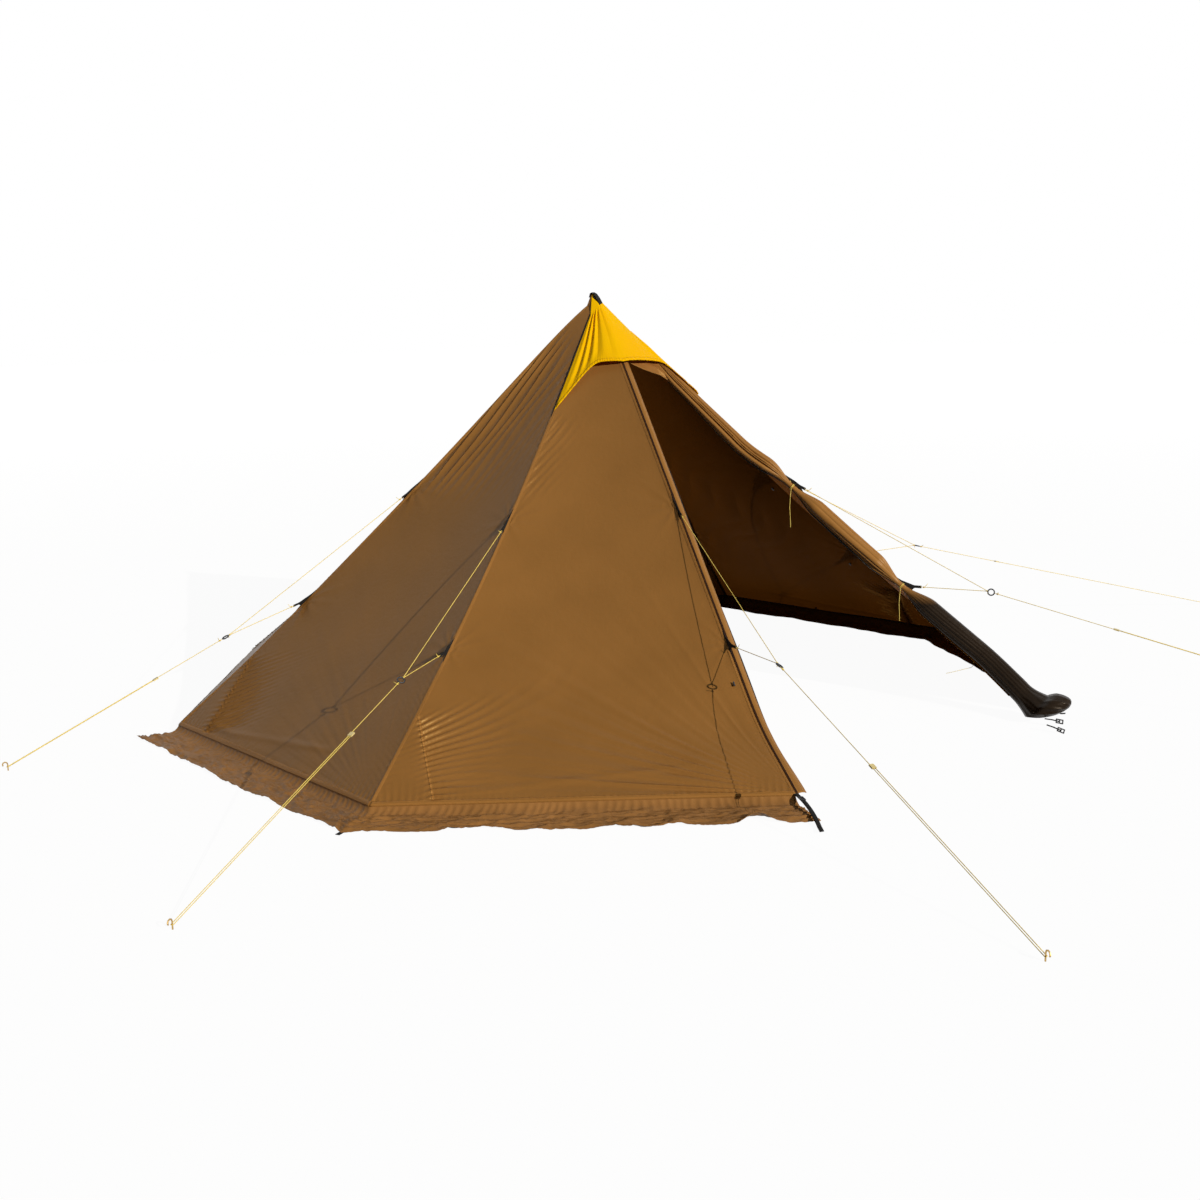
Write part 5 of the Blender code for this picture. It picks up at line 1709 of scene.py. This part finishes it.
FLAP = coated_cloth("flap_cloth", *OUTER, 0.15, 0.38, 0.35, 10.0, 0.016)
edge_strip("storm_flap", 30, 260, flap_place, FLAP, "door_storm_flap", 0.0016)

# %% [markdown]
# Inside the flap, a facing of the tent's own cloth lies behind the zip, with black tape along its
# free edge. It is a little narrower at the top of the door.

# %% Door facing
# From the seam, where each strip starts and ends across, and how far behind the doorway it lies
FACING = {"door_facing": (0.030, 0.057, 0.020), "door_facing_edge": (0.053, 0.0635, 0.0185)}
FACING_SHARES = (0.16, 0.86)


def facing_place(first, last, sink):
    """A strip inside the doorway's edge, which widens from the top of the door down."""

    def place(u, v):
        top, low = FACING_SHARES
        share = low + (top - low) * v
        wide = 0.6 + 0.4 * ease(top, 0.40, share)
        aside = SEAM_GAP + (first + (last - first) * u) * wide + 0.003 * np.sin(19 * share)
        return by_edge(share, aside, -sink), np.stack([aside, share * SLOPE], axis=1)

    return place


FACING_CLOTHS = (("door_facing", INSIDE_SHADED, "canopy_cloth"), ("door_facing_edge", WEBBING, "black_webbing"))
for name, cloth, slot in FACING_CLOTHS:
    first, last, sink = FACING[name]
    place = facing_place(first, last, sink)
    make_strip(name, 4, 160, place, cloth, "door_zip_tape")
# A dark brown webbing strip along the flap's sewn edge, as painted shade in the gap beside the flap
FLAP_SHADE_CLOTH = webbing("flap_painted_shade", (0.030, 0.010, 0.003, 1))
make_strip("flap_edge_painted_shade", 3, 200, flap_shade_place, FLAP_SHADE_CLOTH, "door_storm_flap")
edge_strip("zip_tape", 8, 160, tape_place, WEBBING, "door_zip_tape", TAPE_THICK)

# %% [markdown]
# A webbing strap is sewn to the hem at each corner. A strap is a ribbon: a narrow grid along a
# path, given its thickness at the end. Each path runs from the hem to the ground and curls a
# little at its free end. Straps under the laid out skirt lie flat.

# %% Corner straps
STRAP_WIDTH = 0.020
STRAP_THICK = 0.0018
STRAP_REACH = (0.150, 0.236, 0.345, 0.130, 0.050, 0.110, 0.110, 0.050)
STRAP_ASIDE = (0.0, 0.0, 0.068, 0.0, 0.0, 0.0, 0.0, 0.0)
STRAP_END_HEIGHT = 0.006
STRAP_GAP = 0.0012
STRAP_WAVE = 0.006
# How far the free end curls up, and the last part of the strap that does
STRAP_CURL, STRAP_CURL_PART = 0.008, 0.15
STRAP_STEPS = 15
# Straps under the laid out skirt show only past this part of their length, and lie at this height
STRAPS_UNDER_SKIRT = (0, 1)
STRAP_SHOWS = 0.35
STRAP_LIES = 0.0035


def ribbon(name, path, wide, side, material, node):
    """A webbing ribbon of a given width along a path, with its faces square to side."""
    marks = np.linspace(0.0, 1.0, len(path))
    path = np.array(path)

    def place(u, v):
        points = np.stack([np.interp(v, marks, path[:, axis]) for axis in range(3)], axis=1)
        flat = np.stack([v * route_length(path), u * wide], axis=1)
        return points + side * ((u - 0.5) * wide)[:, None], flat

    piece = add_piece(name, grid_mesh(name, 3, 48, place), material, [node])
    return thicken(piece, STRAP_THICK)


def strap_path(k):
    hidden = k in STRAPS_UNDER_SKIRT
    away = outward(azimuth(k))
    side = np.cross(away, UP)
    start = away * (corner_radius(k) + STRAP_GAP) + UP * (HEM_HEIGHT - CLOTH)
    points = []
    for part in np.linspace(STRAP_SHOWS if hidden else 0.0, 1.0, STRAP_STEPS):
        out = away * STRAP_REACH[k] * part + side * STRAP_ASIDE[k] * part**2
        drop = (HEM_HEIGHT - STRAP_END_HEIGHT) * (0.35 * part + 0.65 * float(ease(0.0, 0.9, part)))
        last = max(part - (1 - STRAP_CURL_PART), 0.0)
        curl = STRAP_WAVE * math.sin(math.pi * part) * part + STRAP_CURL * last / STRAP_CURL_PART
        if hidden:
            drop, curl = HEM_HEIGHT - STRAP_LIES, 0.0
        points.append(start + out - UP * (drop - curl))
    return points, side


for k in range(SIDES):
    points, side = strap_path(k)
    node = "snow_skirt_front" if k < DOOR + 1 else "snow_skirt_back"
    ribbon(f"corner_strap_{k}", points, STRAP_WIDTH, side, WEBBING, node)
# A strap inside, seen through the doorway: its turn, its width, and the distance out and height along it
INNER_TURN, INNER_SQUARE = math.radians(23.0), math.radians(20.0)
INNER_WIDE = 0.012
INNER_PATH = ((2.235, 0.040), (2.17, 0.014), (2.10, 0.006), (1.99, 0.004))
inner = [outward(INNER_TURN) * reach + UP * height for reach, height in INNER_PATH]
ribbon("inner_strap", inner, INNER_WIDE, np.cross(outward(INNER_SQUARE), UP), WEBBING, "snow_skirt_back")

# %% [markdown]
# Small fittings: toggles that hold the door open or shut, and two ladder-lock buckles where the
# door's hem straps come out of the end of the roll. A toggle is a short barrel, spun from its
# half outline. A buckle is a plate with two windows: a grid of faces with two left out, extruded
# and bevelled.

# %% Toggles and buckles
TOGGLE_OUTLINE = ((0.0, -0.011), (0.0030, -0.0105), (0.0042, -0.007), (0.0034, 0.0))
TOGGLE_OUTLINE += ((0.0042, 0.007), (0.0030, 0.0105), (0.0, 0.011))
TOGGLE_OUT = 0.010
TOGGLE_STEPS = 20
TAB_SIZE = (0.012, 0.0020, 0.009)
TAB_BACK = 0.007
BUCKLE_SIZE = (0.036, 0.027, 0.005)
BUCKLE_WINDOW = (0.0095, 0.019)


def place_matrix(place, x_axis, y_axis):
    x_axis, y_axis = Vector(x_axis).normalized(), Vector(y_axis)
    y_axis = (y_axis - x_axis * x_axis.dot(y_axis)).normalized()
    matrix = Matrix((x_axis, y_axis, x_axis.cross(y_axis))).transposed().to_4x4()
    matrix.translation = Vector(place)
    return matrix


def make_toggle(name, place, along, out, node):
    """A barrel toggle lying along a seam, on a short tab."""
    bm = bmesh.new()
    verts = [bm.verts.new((radius, 0.0, height)) for radius, height in TOGGLE_OUTLINE]
    edges = [bm.edges.new(pair) for pair in zip(verts, verts[1:])]
    full_spin(bm, [*verts, *edges], (0, 0, 0), (0, 0, 1), TOGGLE_STEPS)
    tab = bmesh.ops.create_cube(bm, size=1.0)["verts"]
    bmesh.ops.scale(bm, verts=tab, vec=TAB_SIZE)
    bmesh.ops.translate(bm, verts=tab, vec=(-TAB_BACK, 0.0, 0.0))
    home = place_matrix(place + out * TOGGLE_OUT, out, np.cross(out, along))
    bmesh.ops.transform(bm, matrix=home, verts=bm.verts)
    add_piece(name, mapped_mesh(bm, name, along, out), PLASTIC, [node])


def make_buckle(name, place, along, side, node):
    """A ladder-lock buckle: a plate with two windows and a bar across its middle."""
    length, width, thick = BUCKLE_SIZE
    window, opening = BUCKLE_WINDOW
    bar = (length - 2 * window) / 3
    xs = [-length / 2, -length / 2 + bar, -length / 2 + bar + window]
    xs += [-x for x in reversed(xs)]
    ys = [-width / 2, -opening / 2, opening / 2, width / 2]
    bm = bmesh.new()
    grid = [[bm.verts.new((x, y, -thick / 2)) for y in ys] for x in xs]
    faces = []
    for i in range(len(xs) - 1):
        for j in range(len(ys) - 1):
            if i not in (1, 3) or j != 1:
                faces.append(bm.faces.new((grid[i][j], grid[i + 1][j], grid[i + 1][j + 1], grid[i][j + 1])))
    extrude(bm, faces, (0, 0, thick))
    bmesh.ops.transform(bm, matrix=place_matrix(place, along, side), verts=bm.verts)
    add_piece(name, mapped_mesh(bm, name, along, side, 0.0006), PLASTIC, [node])


def wall_spot(k, share, u, lift):
    return on_wall(k, np.array([share]), np.array([u]), lift)[0][0]


def down_ridge(k):
    return unit(ridge(k, KNEE_SHARE) - ridge(k, 0.0))


# %% Placing them
RIGHT = BAYS.index("right")
INNER_TOGGLES = (0.4986, 0.7445)
# Turn, distance out, height and dip of each buckle at the roll's end
HEM_BUCKLES = ((289.2, 2.446, 0.031, -0.10), (286.9, 2.470, 0.016, -0.30))
HEM_STRAP_WIDE = 0.014
inwards = -bay_normal(RIGHT)
for number, share in enumerate(INNER_TOGGLES):
    spot = wall_spot(RIGHT, share, 0.09, -CLOTH_THICK)
    make_toggle(f"inner_toggle_{number}", spot, down_ridge(RIGHT), inwards, "wall_right")
make_toggle("hem_toggle", wall_spot(RIGHT, 0.985, 0.55, -CLOTH_THICK), UP, inwards, "wall_right")
spot = wall_spot(DOOR - 1, 0.780, 0.972, 0.0)
make_toggle("door_toggle", spot, down_ridge(DOOR), bay_normal(DOOR - 1), "door_storm_flap")
for number, (turn, radius, height, lean) in enumerate(HEM_BUCKLES):
    away = outward(math.radians(turn))
    place = away * radius + UP * height
    along = unit(away + UP * lean)
    make_buckle(f"hem_buckle_{number}", place, along, np.cross(away, UP) * 0.5 + UP, "door_roll")
    tail = [place - along * 0.070, place - along * 0.035 + UP * 0.002, place]
    ribbon(f"hem_strap_{number}", tail, HEM_STRAP_WIDE, np.cross(away, UP), WEBBING, "door_roll")

# %% [markdown]
# The spare end of the zip's cord hangs from the underside of the roll near its foot.

# %% Spare cord
# Share along the roll and angle round it where the cord leaves
SPARE_SHARE, SPARE_ANGLE = 0.872, -1.15
hang = roll_point(SPARE_SHARE, np.array([SPARE_ANGLE]))[0]
# Place along the ground and height of each point of the cord, from where it leaves the roll
SPARE_PATH = ((0.0, 0.004), (0.0, -0.010), (0.002, -0.028), (0.010, -0.036), (0.035, -0.042))
SPARE_PATH += ((0.070, -0.050), (0.105, -0.058), (0.135, -0.064))
SPARE_THICK = 0.002
SPARE_WAY = (-0.713, 0.70)
spare = []
for way, rise in SPARE_PATH:
    spare.append(np.array(hang) + np.array((SPARE_WAY[0] * way, SPARE_WAY[1] * way, rise)))
lay_cord("spare_cord", spare, "door_tie_lower", SPARE_THICK)

# %% [markdown]
# ## Finishes for the parts that stay
#
# Poles, pegs, tensioners and the zip keep the frame's own mesh, and get a material.

# %% Finishes of the frame's parts


def finish_nodes():
    kinds = (
        (("pole_upper_tube", "pole_lower_tube"), TUBE),
        (("pole_tip", "pole_foot", "pole_lock_collar", "door_zip", "corner_buckle"), PLASTIC),
        (("line_tensioner",), TENSIONER),
        (("guy_peg",), PEG),
    )
    for name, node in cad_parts.items():
        for starts, material in kinds:
            if name.startswith(starts) and not node.hide_render:
                node.data.materials.clear()
                node.data.materials.append(material)


finish_nodes()

# %% [markdown]
# ## Light and stage
#
# One low sun from the door's side, as in the photograph, and a pale world that fills the shade.
# The backdrop is white to the camera only, so that it adds no light of its own. The floor does
# the same and keeps the tent's shadow.

# %% Light
SUN_FROM = Vector((-0.045, -0.92, 0.385))
SUN_STRENGTH = 3.75
SUN_ANGLE = math.radians(0.25)
SUN_TINT = (1.0, 0.96, 0.90)
SKY_STRENGTH = 0.112
SKY_TINT = (0.86, 0.93, 1.0, 1)
WHITE = (1, 1, 1, 1)


def seen_directly(tree):
    """1 for rays from the camera or off gloss and glass, and 0 for light on the object."""
    path = add_node(tree, "ShaderNodeLightPath")
    either = maths(tree, "MAXIMUM", path.outputs["Is Camera Ray"], path.outputs["Is Glossy Ray"])
    seen = maths(tree, "MAXIMUM", either, path.outputs["Is Transmission Ray"])
    # Light scattered through cloth is both a transmission and a diffuse ray, and gets the plain sky
    return maths(tree, "MULTIPLY", seen, maths(tree, "SUBTRACT", 1.0, path.outputs["Is Diffuse Ray"]))


def make_light():
    data = bpy.data.lights.new("sun", "SUN")
    data.energy = SUN_STRENGTH
    data.angle = SUN_ANGLE
    data.color = SUN_TINT
    sun = link("sun", data)
    sun.rotation_mode = "QUATERNION"
    sun.rotation_quaternion = (-SUN_FROM).to_track_quat("-Z", "Y")
    sun.location = SUN_FROM * 8
    world = bpy.data.worlds.new("sky")
    world.use_nodes = True
    bpy.context.scene.world = world
    tree = world.node_tree
    tree.nodes.clear()
    sky = add_node(tree, "ShaderNodeBackground", [("Color", SKY_TINT), ("Strength", SKY_STRENGTH)])
    white = add_node(tree, "ShaderNodeBackground", [("Color", WHITE), ("Strength", 1.0)])
    links = [(0, seen_directly(tree)), (1, sky.outputs[0]), (2, white.outputs[0])]
    mix = add_node(tree, "ShaderNodeMixShader", links)
    add_node(tree, "ShaderNodeOutputWorld", [("Surface", mix.outputs[0])])


# The floor shows as nearly white by the tent and as white far off, where it meets the sky
FLOOR_COLOUR = 0.05
FLOOR_FADE = (6.0, 26.0)
FLOOR_GLOW = (0.955, 0.99)
FLOOR_HALF = 60.0
# The floor lies just under the ground, so that it never cuts a piece that touches the ground
FLOOR_SINK = 0.001


def make_floor():
    bm = bmesh.new()
    bmesh.ops.create_grid(bm, x_segments=1, y_segments=1, size=FLOOR_HALF)
    floor = link("floor", close_mesh(bm, "floor"))
    floor.location = (0, 0, -FLOOR_SINK)
    material, tree, shader = new_material("floor", 0.9, specular=0.0)
    shader.inputs["Base Color"].default_value = (FLOOR_COLOUR, FLOOR_COLOUR, FLOOR_COLOUR, 1)
    here = add_node(tree, "ShaderNodeTexCoord").outputs["Object"]
    reach = add_node(tree, "ShaderNodeVectorMath", [(0, here)], operation="LENGTH").outputs["Value"]
    links = [("Value", reach), *zip(("From Min", "From Max"), FLOOR_FADE)]
    links += zip(("To Min", "To Max"), FLOOR_GLOW)
    glow = add_node(tree, "ShaderNodeMapRange", links)
    shader.inputs["Emission Color"].default_value = WHITE
    strength = maths(tree, "MULTIPLY", seen_directly(tree), glow.outputs[0])
    tree.links.new(strength, shader.inputs["Emission Strength"])
    floor.data.materials.append(material)
    floor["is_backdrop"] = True


make_light()
make_floor()
bpy.context.scene.view_settings.view_transform = "Standard"

# %% [markdown]
# ## Boxes
#
# The box of the dressed tent and the frame's box are both printed.

# %% Finish
scene_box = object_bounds()
for name, box in (("frame", cad_box), ("scene", scene_box)):
    print(name, "box", [tuple(round(c, 3) for c in corner) for corner in box])
